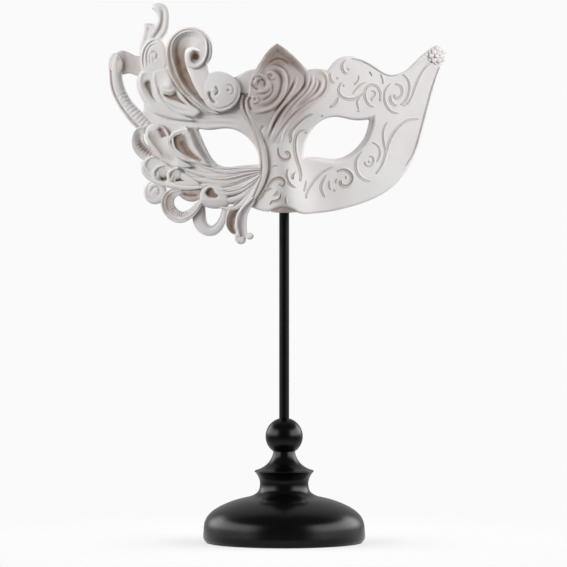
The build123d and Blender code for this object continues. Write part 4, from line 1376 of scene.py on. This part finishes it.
# %% The crest plate
def make_crest():
    """The crest and the scroll beside it, as one relief that sinks into the bridge of the nose."""
    grooves = (
        (-1.5, 0.8, (-10.2, 290), (-8, 291.8), (-5.5, 293.1), (-2.4, 293.2), (0.6, 292), (3, 289.8)),
        (-2.2, 1.1, (-17, 283.2), (-18.9, 280.2), (-18.7, 277.4), (-17, 275.6), (-14.4, 275.4)),
        (-1.3, 0.65, (-14.4, 281), (-12.4, 280.6), (-11.5, 278.6), (-12.8, 276.8)),
        (-0.9, 0.6, (-17.4, 273.8), (-14.4, 272.5), (-11.4, 272.8), (-9.4, 274.6), (-8.8, 277.6)),
        (-1.7, 0.85, (-7.2, 279), (-7.1, 275.4), (-8.2, 272), (-10.6, 269.8), (-14.2, 268.2)),
        (-2.4, 1.35, (-8, 286.2), (-5, 285.8), (-2.8, 284), (-1.7, 281), (-2, 277), (-3.3, 272.6),
         (-5.6, 269), (-8.8, 266.4),
         (-12.6, 265), (-17, 264.8)),
        (-0.9, 0.55, (-10.2, 283), (-9, 281.4), (-7.2, 280.9), (-5.6, 282)),
        (-0.9, 0.8, (-12, 288), (-8, 289.7), (-4, 289.6), (-0.4, 287.6), (1.9, 284), (2.5, 279), (1.2, 273),
         (-1.8, 268),
         (-6, 263.7), (-11, 261.2), (-16, 260.6), (-20, 261.4)),
        (-2.4, 1.1, (-18.6, 270.4), (-20.8, 269.2), (-21.2, 266), (-20.2, 263.6), (-18.4, 262.8)),
        (-1.0, 0.55, (-16, 270.8), (-15.4, 268.4), (-16.6, 266.6), (-18.6, 266.6)),
        (-1.9, 0.85, (6, 282), (4.9, 277.6), (2.2, 272), (-1, 267.4), (-4.6, 263.4), (-7, 261)),
        (-2.3, 1.0, (12.4, 285), (12.9, 281), (11.9, 277.6), (9.8, 274.6), (6.4, 271), (2, 266.2),
         (-2, 261.4), (-5.4, 256),
         (-8, 250), (-9.3, 243.4)),
        (-0.8, 0.6, (15.1, 285), (15.6, 280.4), (14.2, 276.2), (11, 272), (6.6, 267.6), (1.6, 262.2),
         (-2.8, 255.6)),
        (-0.8, 0.6, (18, 284), (18.5, 279.8), (17.2, 275.8), (14, 271.6), (9.6, 267.4), (4.6, 262.6)),
        (-1.6, 0.75, (19.2, 281.4), (20.7, 279.4), (20.5, 276.6), (18.4, 273.2), (14.8, 270), (10, 266.4),
         (5.6, 262)),
        (-2.1, 0.95, (21.6, 285.2), (24, 283.2), (25.1, 279.8), (24.4, 275.6), (21.8, 271.6), (17.6, 268.8),
         (12.4, 266),
         (7.6, 262.2), (3.4, 258), (-0.4, 253.4), (-3.6, 248.4), (-5.3, 243.6), (-5.6, 240.6)),
        (-1.1, 0.8, (-18.6, 256.4), (-16.2, 251.4), (-14, 246)),
        (-1.2, 0.9, (-12, 253.6), (-13.6, 250.6), (-13, 246.6)),
        (-0.9, 0.5, (-9.4, 297.6), (-12.6, 293.6), (-15.4, 289.2), (-17.6, 284.6)),
    )
    ridges = (
        (1.3, 0.75, (-17.2, 277.6), (-17, 280.2), (-15.4, 281.6), (-13.6, 281)),
        (1.1, 1.0, (-17.8, 282.6), (-15.4, 283.7), (-12.4, 283), (-10.2, 280.8), (-9.6, 278),
         (-10.6, 275.4),
         (-13.2, 274), (-16.6, 274.4)),
        (1.3, 0.75, (-10.6, 282.6), (-10, 284.8), (-8, 285.2), (-6.2, 283.8), (-6.4, 281.8), (-8, 281.2)),
        (1.3, 0.75, (-19.4, 269.2), (-18.2, 270.6), (-16.4, 270), (-16.2, 268), (-17.8, 267)),
        (1.3, 1.1, (-8, 287.9), (-4, 287.7), (-0.6, 285.4), (0.8, 281.4), (0.5, 276), (-1.2, 271),
         (-4.2, 266.8),
         (-8.8, 263.3), (-14, 261.8), (-19.4, 261.6)),
        (0.9, 1.0, (-23, 271), (-22.6, 267), (-21.6, 263.4), (-20.4, 261)),
        (1.6, 0.7, (7.7, 283.2), (6.8, 278.8), (4.2, 273.6), (1, 269), (-2.2, 264.4), (-5.4, 259),
         (-8, 253), (-9.8, 246.4)),
        (1.1, 0.9, (14.2, 285), (14.2, 280), (12.9, 276), (10, 272.3), (5.8, 268), (1, 262.8),
         (-2.8, 256.8), (-5.8, 250),
         (-7.2, 243.6)),
        (1.0, 0.9, (22.6, 281.6), (22.6, 278), (20.6, 274), (16.6, 270.4), (11.4, 267)),
        (0.9, 0.8, (17, 284), (17, 279.6), (15.4, 275.8), (12.2, 271.8), (7.6, 267), (3, 262)),
    )

    def relief(spots, gap):
        across, height = spots.T
        low = smoothstep((250.0 - height) / 10.0)
        slope = 2.8 * smoothstep((height - 240.0) / 26.0) - 2.6 * low
        bowl = 1.4 * smoothstep((gap - 1.4) / 3.2)
        bowl = bowl * smoothstep((height - 272.0) / 10.0) * smoothstep((14.0 - across) / 2.0)
        cuts = 0.64 * strokes(spots, *grooves) + strokes(spots, *ridges)
        return 2.2 + slope - bowl + rounded(gap, 1.3) + (1.0 - 0.4 * low) * cuts

    loop = outline(
        [(-4.2, 302.8), (1.5, 299), (7.5, 293.6)],
        [(14.4, 286.4), (17.6, 287.4), (22, 287.2), (25.6, 285)],
        [(26.6, 279.6), (25.2, 274), (21, 269.2), (14, 264.8), (8, 260), (3, 254.4), (-0.4, 248.4),
         (-2.4, 241)],
        [(-4, 238.4), (-7.5, 239.4), (-10.4, 241)],
        [(-13.6, 247), (-17.8, 254.4), (-22, 261), (-23.2, 266.6), (-21.6, 272), (-20.4, 279),
         (-17.6, 286.4), (-13.2, 293.6),
         (-8.6, 299.6)],
    )
    # Painted shade and antiquing over the crest: a brown tint from the bridge up, stronger towards the peak
    # and on the left, and a ring round the right lobe.
    def wash_and_shade(spots, gap):
        height = spots[:, 1]
        left = smoothstep((16.0 - spots[:, 0]) / 4.0)
        ring = nearby(spots, 1.8, (21.6, 285.2), (24, 283.2), (25, 279.8), (24.4, 275.6), (21.8, 271.6))
        peak = 0.3 * smoothstep((height - 284.0) / 8.0)
        return (0.36 + peak) * smoothstep((height - 246.0) / 14.0) * (0.5 + 0.5 * left) + 0.3 * ring

    piece = add_piece("crest_carved", [plate(loop, relief, 0.33, -1.0, wash_and_shade_more=wash_and_shade, blur=16)], resin)
    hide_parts("crest_plate", "crest_scroll")


make_crest()

# %% [markdown]
# ## The scrollwork of the right half
#
# The plain half carries fine scrollwork: low welts, each with a soft cut along it that is painted brown,
# partly antiquing and partly painted shade. Each is a thin ribbon on the face. Many end in a small round
# berry.

# %% The welts
WELT_WIDTH = 3.2


def welt(*points, width=WELT_WIDTH, ends=1.6, tint=0.85):
    """One welt: a soft swelling on both sides of a shallow cut, narrowing towards its ends; tint sets the
    height of the welt and the cut, and how dark the cut is painted with shade and antiquing."""
    count = len(points)
    share = np.linspace(0.0, 1.0, count)
    widths = width * (0.5 + 0.5 * np.sin(math.pi * share) ** 0.6)
    stations = np.column_stack([np.array(points, float), widths, np.full(count, 0.0)])

    def height(v, s):
        swelling = (0.75 + 0.3 * tint) * (1.0 - v**2) ** 2 * (1.0 + 0.25 * v)
        cut_line = (0.45 + 0.3 * tint) * np.exp(-((v / 0.26) ** 2))
        return swelling - cut_line - 0.1

    # The cut is painted brown: shade in it, with some antiquing.
    wash_and_shade_tint = lambda v, s: 0.55 * tint * np.exp(-((v / 0.5) ** 2))
    return ribbon(stations, height, 1.2, (ends, ends), 15, 0.5, wash_and_shade_tint, blur=2)


def berry(a, b, radius=1.0):
    """A small round berry at a welt's end."""
    dome = lambda spots, gap: np.sqrt(np.clip(radius**2 - (radius - gap) ** 2, 0, None)) * 0.5 - 0.1
    # Each berry is painted a little darker all over: shade and antiquing.
    wash_and_shade_tint = lambda spots, gap: 0.35 + 0.0 * gap
    return plate(oval(a, b, radius, radius, step=0.25), dome, 0.25, -1.0, wash_and_shade_more=wash_and_shade_tint)


def make_scrollwork():
    """All the scrollwork of the plain half, with the small curls beside the nose."""
    welts = [
        welt((37.5, 293.4), (35.4, 291), (35, 288), (36.4, 285.4), (38.6, 284.6)),
        welt((28.4, 285.6), (27.8, 282), (29.4, 279.6), (31, 279.2)),
        welt((35, 280), (33, 276), (33.8, 272), (37.4, 269.8), (42, 269.8), (46, 271.6), (49.6, 274.8)),
        welt((44.6, 284.4), (44.8, 281.4), (43, 278.8), (41.8, 277.8), width=1.8),
        welt((50.6, 286), (52.4, 284.6), (52.4, 282.6), width=1.7),
        welt((41, 272.2), (44, 276), (47.4, 278.8), (50.4, 279.8), width=2.0),
        welt((57.6, 267.6), (58, 273), (55.6, 277.4), (51.6, 278), (48.8, 274.4), (49, 269.4),
             (51.6, 265.8), (54.4, 264.6)),
        welt((51.8, 274.2), (54.2, 274), (54.6, 271.6), (53, 270.2), (52.6, 267.8), width=2.2),
        welt((46.4, 271), (44.2, 268.6), (44.2, 265.8), (44.8, 263), width=2.0),
        welt((32.4, 271), (32, 268.4), (30, 265.8), (27, 264.4)),
        welt((64.8, 279.4), (61.4, 275.8), (60.2, 270.6), (61.6, 265.4), (65, 261.8), (69.4, 260.8),
             width=2.6),
        welt((57.6, 284.6), (59.2, 281.4), (59.4, 278), width=1.8),
        welt((70.8, 284.6), (74.4, 281), (75.4, 276), (74.2, 270.8), (71.2, 266.8), (69.4, 265.8),
             width=2.4),
        welt((66.2, 278.4), (69.4, 277.8), (71, 274.6), (69.8, 271.2), (67, 270.4), (65.6, 272.4)),
        welt((64.2, 272.4), (64, 268.8), (66, 266.2), (68.6, 265.6)),
        welt((88.2, 291.8), (84.2, 287.6), (80.8, 281.6), (78, 274.6), (76, 269.6), (73.4, 266.4),
             (70.6, 265.2), width=2.6),
        welt((81.4, 257.6), (75.6, 257.2), (70.2, 254), (65.8, 248.8), (62.8, 242.4), (60.8, 235.6),
             (58.6, 229.4), (54.8, 224.2)),
        welt((62.4, 256.4), (60, 251.4), (59.6, 245.4), (60.8, 239), (60.8, 234), width=2.2),
        welt((52.4, 243.6), (56, 241.8), (57.6, 238.2), (57, 234), (55.4, 231.4), width=2.2),
        welt((47.4, 238.4), (44, 234.2), (43.2, 228.8), (44.8, 224), (48.4, 221), (52.4, 220)),
        welt((50.6, 234.8), (53, 234.8), (53.8, 232.2), (52, 229.6), (49.6, 229.8), (48.4, 232.4),
             width=2.4),
        welt((31.4, 225.6), (34.6, 227), (38.4, 226.2), (40.8, 223), (40, 219.2), (36.8, 217.4),
             (34.2, 218.8), (34.4, 221.4),
             width=4.0, tint=1.3),
        welt((36.8, 221), (37.4, 222.6), (36.6, 223.6), width=1.6, ends=0.8),
        welt((33, 222.6), (31.4, 221), (31, 218.4), width=1.8),
        welt((30.6, 229.2), (26.4, 227.6), (22, 224.4), (18, 220), (15, 215.5), (13.6, 212), (13.5, 209.2)),
        welt((25.9, 224.4), (24.4, 222), (22.9, 219), (22.4, 215.5), (23.5, 212.5), (24.5, 210)),
        welt((27.3, 221), (27.2, 217.5), (28.2, 214.4), width=2.2),
        welt((13.4, 221), (12.8, 216.8), (11.8, 213.6), width=2.2),
        welt((13.2, 251.4), (9.6, 250), (7.3, 246.6), (6.6, 242), (7, 237), (8.4, 231.6), (9.9, 226.6),
             (10.2, 222.6), (9.6, 219.6), width=3.8, tint=1.1),
        welt((18, 261), (13, 258.6), (8.4, 254.6), (5, 250.8), (3.9, 247.6), (4.2, 245), (3, 242.8),
             width=3.6, tint=1.1),
        welt((-10.4, 214.6), (-9.4, 217.6), (-7, 220.8), (-4.2, 222.2), (-1.4, 221.8), (0.2, 219.8),
             (-0.4, 217.6), (-2.6, 217.4),
             width=4.0, tint=1.3),
        welt((2.6, 228), (1.5, 225), (2, 221.4), (3.8, 218.4), (7.4, 216.2), width=3.4, tint=1.1),
        welt((-15.6, 208.4), (-13.4, 211.2), (-11.6, 214), (-9.2, 215.4), (-7, 215.8), width=2.8, tint=1.3),
        welt((-8.8, 205.6), (-7.4, 208), (-4.8, 208.6), (-2.6, 210.2), (-2, 213.6), width=3.0, tint=1.3),
        welt((-4.4, 215), (-5.4, 212.4), (-7.4, 211.4), width=2.4, tint=1.0),
        welt((1.4, 212), (0.8, 208.8), (1.8, 205.8), width=2.4, tint=1.1),
        welt((-3.6, 241), (-3.5, 237), (-2, 234.2), (0.6, 233.1), (2.9, 233.8), (3.4, 236.2), (1.8, 237.8),
             (0, 237.2),
             width=4.0, tint=1.3),
        welt((6.8, 225.6), (5.6, 224), (5.6, 221), width=2.8, tint=1.3, ends=0.8),
        welt((-7.4, 228), (-5.8, 229.6), (-3.4, 229), width=2.0),
        welt((40, 293.8), (46, 292.6), (52, 289.7), (58, 285.8), (64, 283.4), (69, 284.2), width=1.6),
        welt((93.4, 289), (90.2, 280.5), (87.1, 270), (84.1, 258.6), (81, 247), (77.8, 237.4), (73, 229.2),
             width=1.8),
    ]
    berries = [berry(*spot) for spot in (
        (38.8, 287.6), (32.2, 282), (36, 277.6), (44.8, 262.4), (30.4, 214.6), (13.3, 249.4), (23.1, 259.4),
        (6.6, 225.2),
        (1.5, 237.2), (-2.9, 218.2), (66.6, 271.6), (51.2, 231.8),
    )]
    piece = add_piece("right_scrollwork", welts + berries, resin)


make_scrollwork()


# %% [markdown]
# ### The rosette
#
# A small flower closes the right tip. Its petals are little domes in two turned rings, from one loop.


# %% The rosette at the tip
ROSETTE_A, ROSETTE_B = 91.4, 295.2


def petal(top, half_width):
    """A petal's height: a quarter of an ellipse that rises from the rim over half its width."""
    return lambda spots, gap: top + 0.9 * np.sqrt(np.clip(gap / half_width, 0.0, 1.0)) - 0.9


def make_rosette():
    """Six rounded petals about a bud, and six more behind them, turned by half a petal."""
    # Painted shade and antiquing at the edge of each petal, where the petals meet.
    rim_wash_and_shade = lambda spots, gap: 0.4 * (gap < 0.3)
    shells = []
    for count, reach, size, lift, turn in ((6, 2.8, 1.9, 1.8, 0.0), (6, 4.0, 1.7, 0.9, 0.52)):
        for k in range(count):
            t = math.tau * k / count + turn
            a = ROSETTE_A + reach * math.cos(t)
            b = ROSETTE_B + reach * math.sin(t)
            loop = oval(a, b, size, size * 0.85, math.degrees(t), 0.2)
            shells.append(plate(loop, petal(lift, size), 0.22, -1.0, blur=3, wash_and_shade_more=rim_wash_and_shade))
    petals = add_piece("rosette_petals_carved", shells, resin)
    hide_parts("rosette_petals")
    dome = lambda spots, gap: 1.8 + 1.0 * np.sqrt(np.clip(1.0 - (1.0 - gap / 1.3) ** 2, 0, 1))
    centre = plate(oval(ROSETTE_A, ROSETTE_B, 1.3, 1.3, step=0.25), dome, 0.25, 1.0)
    bud = add_piece("rosette_bud_carved", [centre], resin)
    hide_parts("rosette_bud")


make_rosette()

# %% [markdown]
# ## The mask's face
#
# The face is the largest plate. It has the two eye holes, whose outer walls slope so that their thickness
# shows, the long soft folds of the left brow, a rounded edge all round, and painted contact shade along the
# edges of everything that lies on it.


# %% The face
FACE_LOOP = outline(
    [(-29, 282.5), (-24, 285.5)],
    [(-18, 287), (-4.5, 294)],
    [(14, 287), (20, 287.4)],
    [(26, 286.8), (30, 292), (36, 295), (42, 294.8), (50, 291.3), (58, 286.3), (65, 284.2), (72, 286.2),
     (80, 293.5)],
    [(88, 300), (92, 301.5), (96, 298.5)],
    [(94.5, 290), (90, 278.5), (85, 260), (81, 243), (76.5, 232), (69, 220.5), (60, 213), (45, 206.3),
     (28, 202)],
    [(12, 200.3)],
    [(8, 201.2), (5, 203), (-0.5, 204.6), (-6, 203.2)],
    [(-9.5, 201.8), (-14, 202.4), (-20, 204.5), (-30, 206), (-42, 207), (-55, 212), (-66, 221), (-75, 235),
     (-82, 250)],
    [(-84.5, 262), (-82, 274), (-74, 281), (-62, 282.5), (-50, 282.5), (-40, 282.5)],
)
RIGHT_EYE = outline(
    [(11.8, 234.2), (12.3, 240), (14.5, 247), (18.5, 253), (24.5, 257.4), (32, 258.6), (40, 257),
     (46, 256.6)],
    [(51, 257.2), (49.7, 251), (47.3, 245.3), (43.5, 240.5), (38.5, 236.3), (33.5, 234), (27, 233.7),
     (19, 234.6)],
)
RIGHT_EYE_FRONT = outline(
    [(11.0, 233.4), (11.6, 240), (14, 247.6), (18.1, 253.6), (24.2, 258.0), (32, 259.3), (40, 257.8),
     (47, 258.2)],
    [(54.8, 260.2), (54.5, 255), (52.6, 248.2), (49, 241.4), (44, 236.6), (38, 232.8), (31, 230.8),
     (25, 231.2), (18, 232.8)],
)
LEFT_EYE = outline(
    [(-51.5, 251.6), (-44, 250.8), (-36, 251.7), (-29, 250.7), (-23, 247.2), (-18.5, 242), (-15.6, 236)],
    [(-14.6, 230.3), (-22, 229.9), (-30, 228.9), (-36, 228.8), (-40, 230.4), (-43.5, 234.4), (-47, 241)],
)
LEFT_EYE_FRONT = outline(
    [(-57, 253.2), (-48, 252.2), (-36, 252.6), (-28.6, 251.5), (-22.4, 247.9), (-17.8, 242.4),
     (-14.8, 236)],
    [(-13.8, 229.7), (-22, 229.2), (-30, 228.2), (-37, 227.6), (-43, 229.2), (-48, 232.8), (-52, 237.8),
     (-55.2, 244.4)],
)


def make_face():
    folds = [
        (-0.8, 1.1, (-80, 261.5), (-72, 258), (-62, 256.2), (-50, 255), (-38, 255), (-27, 254)),
        (-0.7, 1.1, (-66, 260), (-56, 258.2), (-46, 257.4), (-36, 258), (-25, 257.6)),
        (-0.6, 1.0, (-60, 263), (-52, 260.6), (-42, 259.8), (-33, 261), (-27, 260)),
        (-0.6, 1.0, (-64, 254), (-54, 253.4), (-44, 252.8)),
        (-0.8, 1.0, (-54, 248), (-51.6, 242), (-48.4, 236.6), (-44, 232), (-39.6, 229)),
        (1.0, 0.9, (-7.6, 225), (-9.4, 220.2), (-12, 215.6), (-16.4, 208.4)),
    ]
    laid_on = [
        oval(-38.2, 274.2, 12.0, 12.2),
        spline([(-45, 260.4), (-52, 264.4), (-60, 271), (-66, 279)]),
        spline([(15, 286.4), (25.4, 285), (26.8, 279.6), (24.8, 273.6), (19, 268), (11, 261.6), (4, 254.4),
                (-2, 245)]),
        spline([(-21.6, 279), (-23, 271), (-22.6, 263.6), (-18.5, 257), (-12.6, 250)]),
        spline([(-10, 240), (-8.6, 229), (-9.6, 221), (-13, 213.4), (-18, 206)]),
    ]

    def relief(spots, gap):
        lift = rounded(gap, 1.5) + strokes(spots, *folds)
        for front in (RIGHT_EYE_FRONT, LEFT_EYE_FRONT):
            depth = nearest(spots, front, closed=True)[0]
            lift = lift - np.where(inside(spots, front), 2.4 * smoothstep(depth / 2.8 + 0.05), 0.0)
        return lift

    # Painted contact shade along the edges of the pieces that lie on the face, fading over about a
    # millimetre; none on the eye walls.
    def contact_shade(spots, gap):
        wash_and_shade = np.zeros(len(spots))
        for line in laid_on:
            wash_and_shade = np.maximum(wash_and_shade, 0.55 * np.exp(-nearest(spots, line)[0] / 0.9))
        clean = inside(spots, RIGHT_EYE_FRONT) | inside(spots, LEFT_EYE_FRONT)
        return np.where(clean, -1.0, wash_and_shade)

    shell = plate(FACE_LOOP, relief, 0.62, -SHELL_THICKNESS, (RIGHT_EYE, LEFT_EYE), contact_shade, blur=8)
    wing = plate(
        outline([(-30, 280.5), (-26, 284.2), (-20.5, 286.8)], [(-16, 287.4), (-16, 276), (-24, 272)]),
        lambda spots, gap: 1.4 + rounded(gap, 1.4), 0.4, -3.0,
    )
    notch = spline([(-8, 202), (-4, 204.8), (0, 205.6), (4, 204.8), (8, 202), (4, 201.2), (-4, 201.2)],
                   closed=True)
    level = lambda spots, gap: -1.6 + 0.0 * gap
    # The underside seen below the nose arch is painted dark: painted shade.
    wash_and_shade_tint = lambda spots, gap: 0.6 + 0.0 * gap
    under = plate(notch, level, 0.4, -3.6, wash_and_shade_more=wash_and_shade_tint)
    piece = add_piece("mask_face", [shell, wing, under], resin)
    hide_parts("mask_shell")


make_face()

# %% [markdown]
# ## Floor, light and camera
#
# A product picture on white. Two tall soft boxes stand at the left and the right, level with the mask, so
# they rake across the relief and draw two long highlights down the lacquer. The wall behind is white, and
# in front and overhead it is dim, which keeps the middle of the foot black. The boxes and the walls are
# painted on the world, by direction, so the light is the same wherever it falls. A little less light comes
# from the left, where the ornaments are shaded. Lamps could do the same, but their place and size would
# then matter. The floor is a sheet of opal acrylic lit from below, which fades out into the white
# background, so the foot has only a faint contact shadow.


# %% The studio
SIDE_LIGHT = 4.75
LEFT_SHARE = 0.84
BACK_LIGHT = 0.35
TOP_LIGHT = 0.04
ROOM_LIGHT = 0.1
FLOOR_RADIUS = 1.3
FLOOR_GLOW = 0.52
BACKGROUND = 0.955


def fade(tree, value, start, end, top):
    """An S-shaped rise from 0 to top as value goes from start to end."""
    inputs = {"Value": value, "From Min": start, "From Max": end, "To Min": 0.0, "To Max": top}
    return add_node(tree, "ShaderNodeMapRange", inputs, interpolation_type="SMOOTHSTEP").outputs["Result"]


def total(tree, *values):
    """The sum of some values."""
    result = values[0]
    for value in values[1:]:
        result = add_node(tree, "ShaderNodeMath", {0: result, 1: value}, operation="ADD").outputs["Value"]
    return result


def make_studio():
    """The world: side boxes by the share of a direction that points sideways, then wall, ceiling and
    room."""
    world = bpy.data.worlds.new("studio")
    world.use_nodes = True
    tree = world.node_tree
    tree.nodes.clear()
    way = add_node(tree, "ShaderNodeTexCoord").outputs["Generated"]
    across, deep, up = add_node(tree, "ShaderNodeSeparateXYZ", {"Vector": way}).outputs
    level = add_node(tree, "ShaderNodeMath", {0: up, 1: up}, operation="MULTIPLY").outputs["Value"]
    level = add_node(tree, "ShaderNodeMath", {0: 1.0001, 1: level}, operation="SUBTRACT").outputs["Value"]
    level = add_node(tree, "ShaderNodeMath", {0: level}, operation="SQRT").outputs["Value"]
    aside = add_node(tree, "ShaderNodeMath", {0: across}, operation="ABSOLUTE").outputs["Value"]
    aside = add_node(tree, "ShaderNodeMath", {0: aside, 1: level}, operation="DIVIDE").outputs["Value"]
    boxes = fade(tree, aside, 0.5, 0.85, SIDE_LIGHT)
    sides = {"Value": across, "From Min": -0.6, "From Max": 0.6, "To Min": LEFT_SHARE, "To Max": 1.0}
    lean = add_node(tree, "ShaderNodeMapRange", sides)
    boxes = add_node(tree, "ShaderNodeMath", {0: boxes, 1: lean.outputs["Result"]},
                     operation="MULTIPLY").outputs["Value"]
    for start, end in ((-0.02, 0.22), (0.66, 0.46)):
        window = {0: boxes, 1: fade(tree, up, start, end, 1.0)}
        boxes = add_node(tree, "ShaderNodeMath", window, operation="MULTIPLY").outputs["Value"]
    wall = fade(tree, deep, 0.0, 0.5, BACK_LIGHT)
    ceiling = fade(tree, up, 0.3, 0.9, TOP_LIGHT)
    light = total(tree, boxes, wall, ceiling, ROOM_LIGHT)
    seen = add_node(tree, "ShaderNodeLightPath").outputs["Is Camera Ray"]
    inputs = {"Factor": seen, 2: light, 3: BACKGROUND}
    strength = add_node(tree, "ShaderNodeMix", inputs, data_type="FLOAT").outputs[0]
    shine = add_node(tree, "ShaderNodeBackground", {"Color": linear("#FFFFFF"), "Strength": strength})
    add_node(tree, "ShaderNodeOutputWorld", {"Surface": shine.outputs["Background"]})
    bpy.context.scene.world = world
    bpy.context.scene.view_settings.view_transform = "Standard"


def make_floor():
    """A round sheet of opal acrylic, lit from below: one face, whose surface fades out towards its edge."""
    t = np.arange(96) * math.tau / 96
    rim = np.stack([FLOOR_RADIUS * np.cos(t), FLOOR_RADIUS * np.sin(t), np.zeros(96)], axis=1)
    mesh = bpy.data.meshes.new("floor")
    mesh.from_pydata(rim.tolist(), [], [list(range(96))])
    material, tree, shader, place = new_finish("opal_acrylic", 0.9)
    shader.inputs["Base Color"].default_value = linear("#B8B8B8")
    shader.inputs["Emission Color"].default_value = linear("#FFFFFF")
    shader.inputs["Emission Strength"].default_value = FLOOR_GLOW
    away = add_node(tree, "ShaderNodeVectorMath", {0: place}, operation="LENGTH").outputs["Value"]
    share = fade(tree, away, 0.3, 0.06, 0.75)
    tree.links.new(share, shader.inputs["Alpha"])
    mesh.materials.append(material)
    floor = bpy.data.objects.new("floor", mesh)
    bpy.context.scene.collection.objects.link(floor)


make_studio()
make_floor()

# %% [markdown]
# ### The camera
#
# The object is seen from straight in front, level with its middle, from two metres away with a long lens,
# so that the foot is not drawn wider than it is.


# %% The camera
camera = bpy.data.cameras.new("camera")
camera.lens = 211.6
camera.sensor_width = 36.0
camera.clip_end = 20.0
viewer = bpy.data.objects.new("camera", camera)
viewer.location = (-0.4 * MM, -EYE_DISTANCE * MM, EYE_HEIGHT * MM)
viewer.rotation_euler = (math.pi / 2.0, 0.0, 0.0)
bpy.context.scene.collection.objects.link(viewer)
bpy.context.scene.camera = viewer
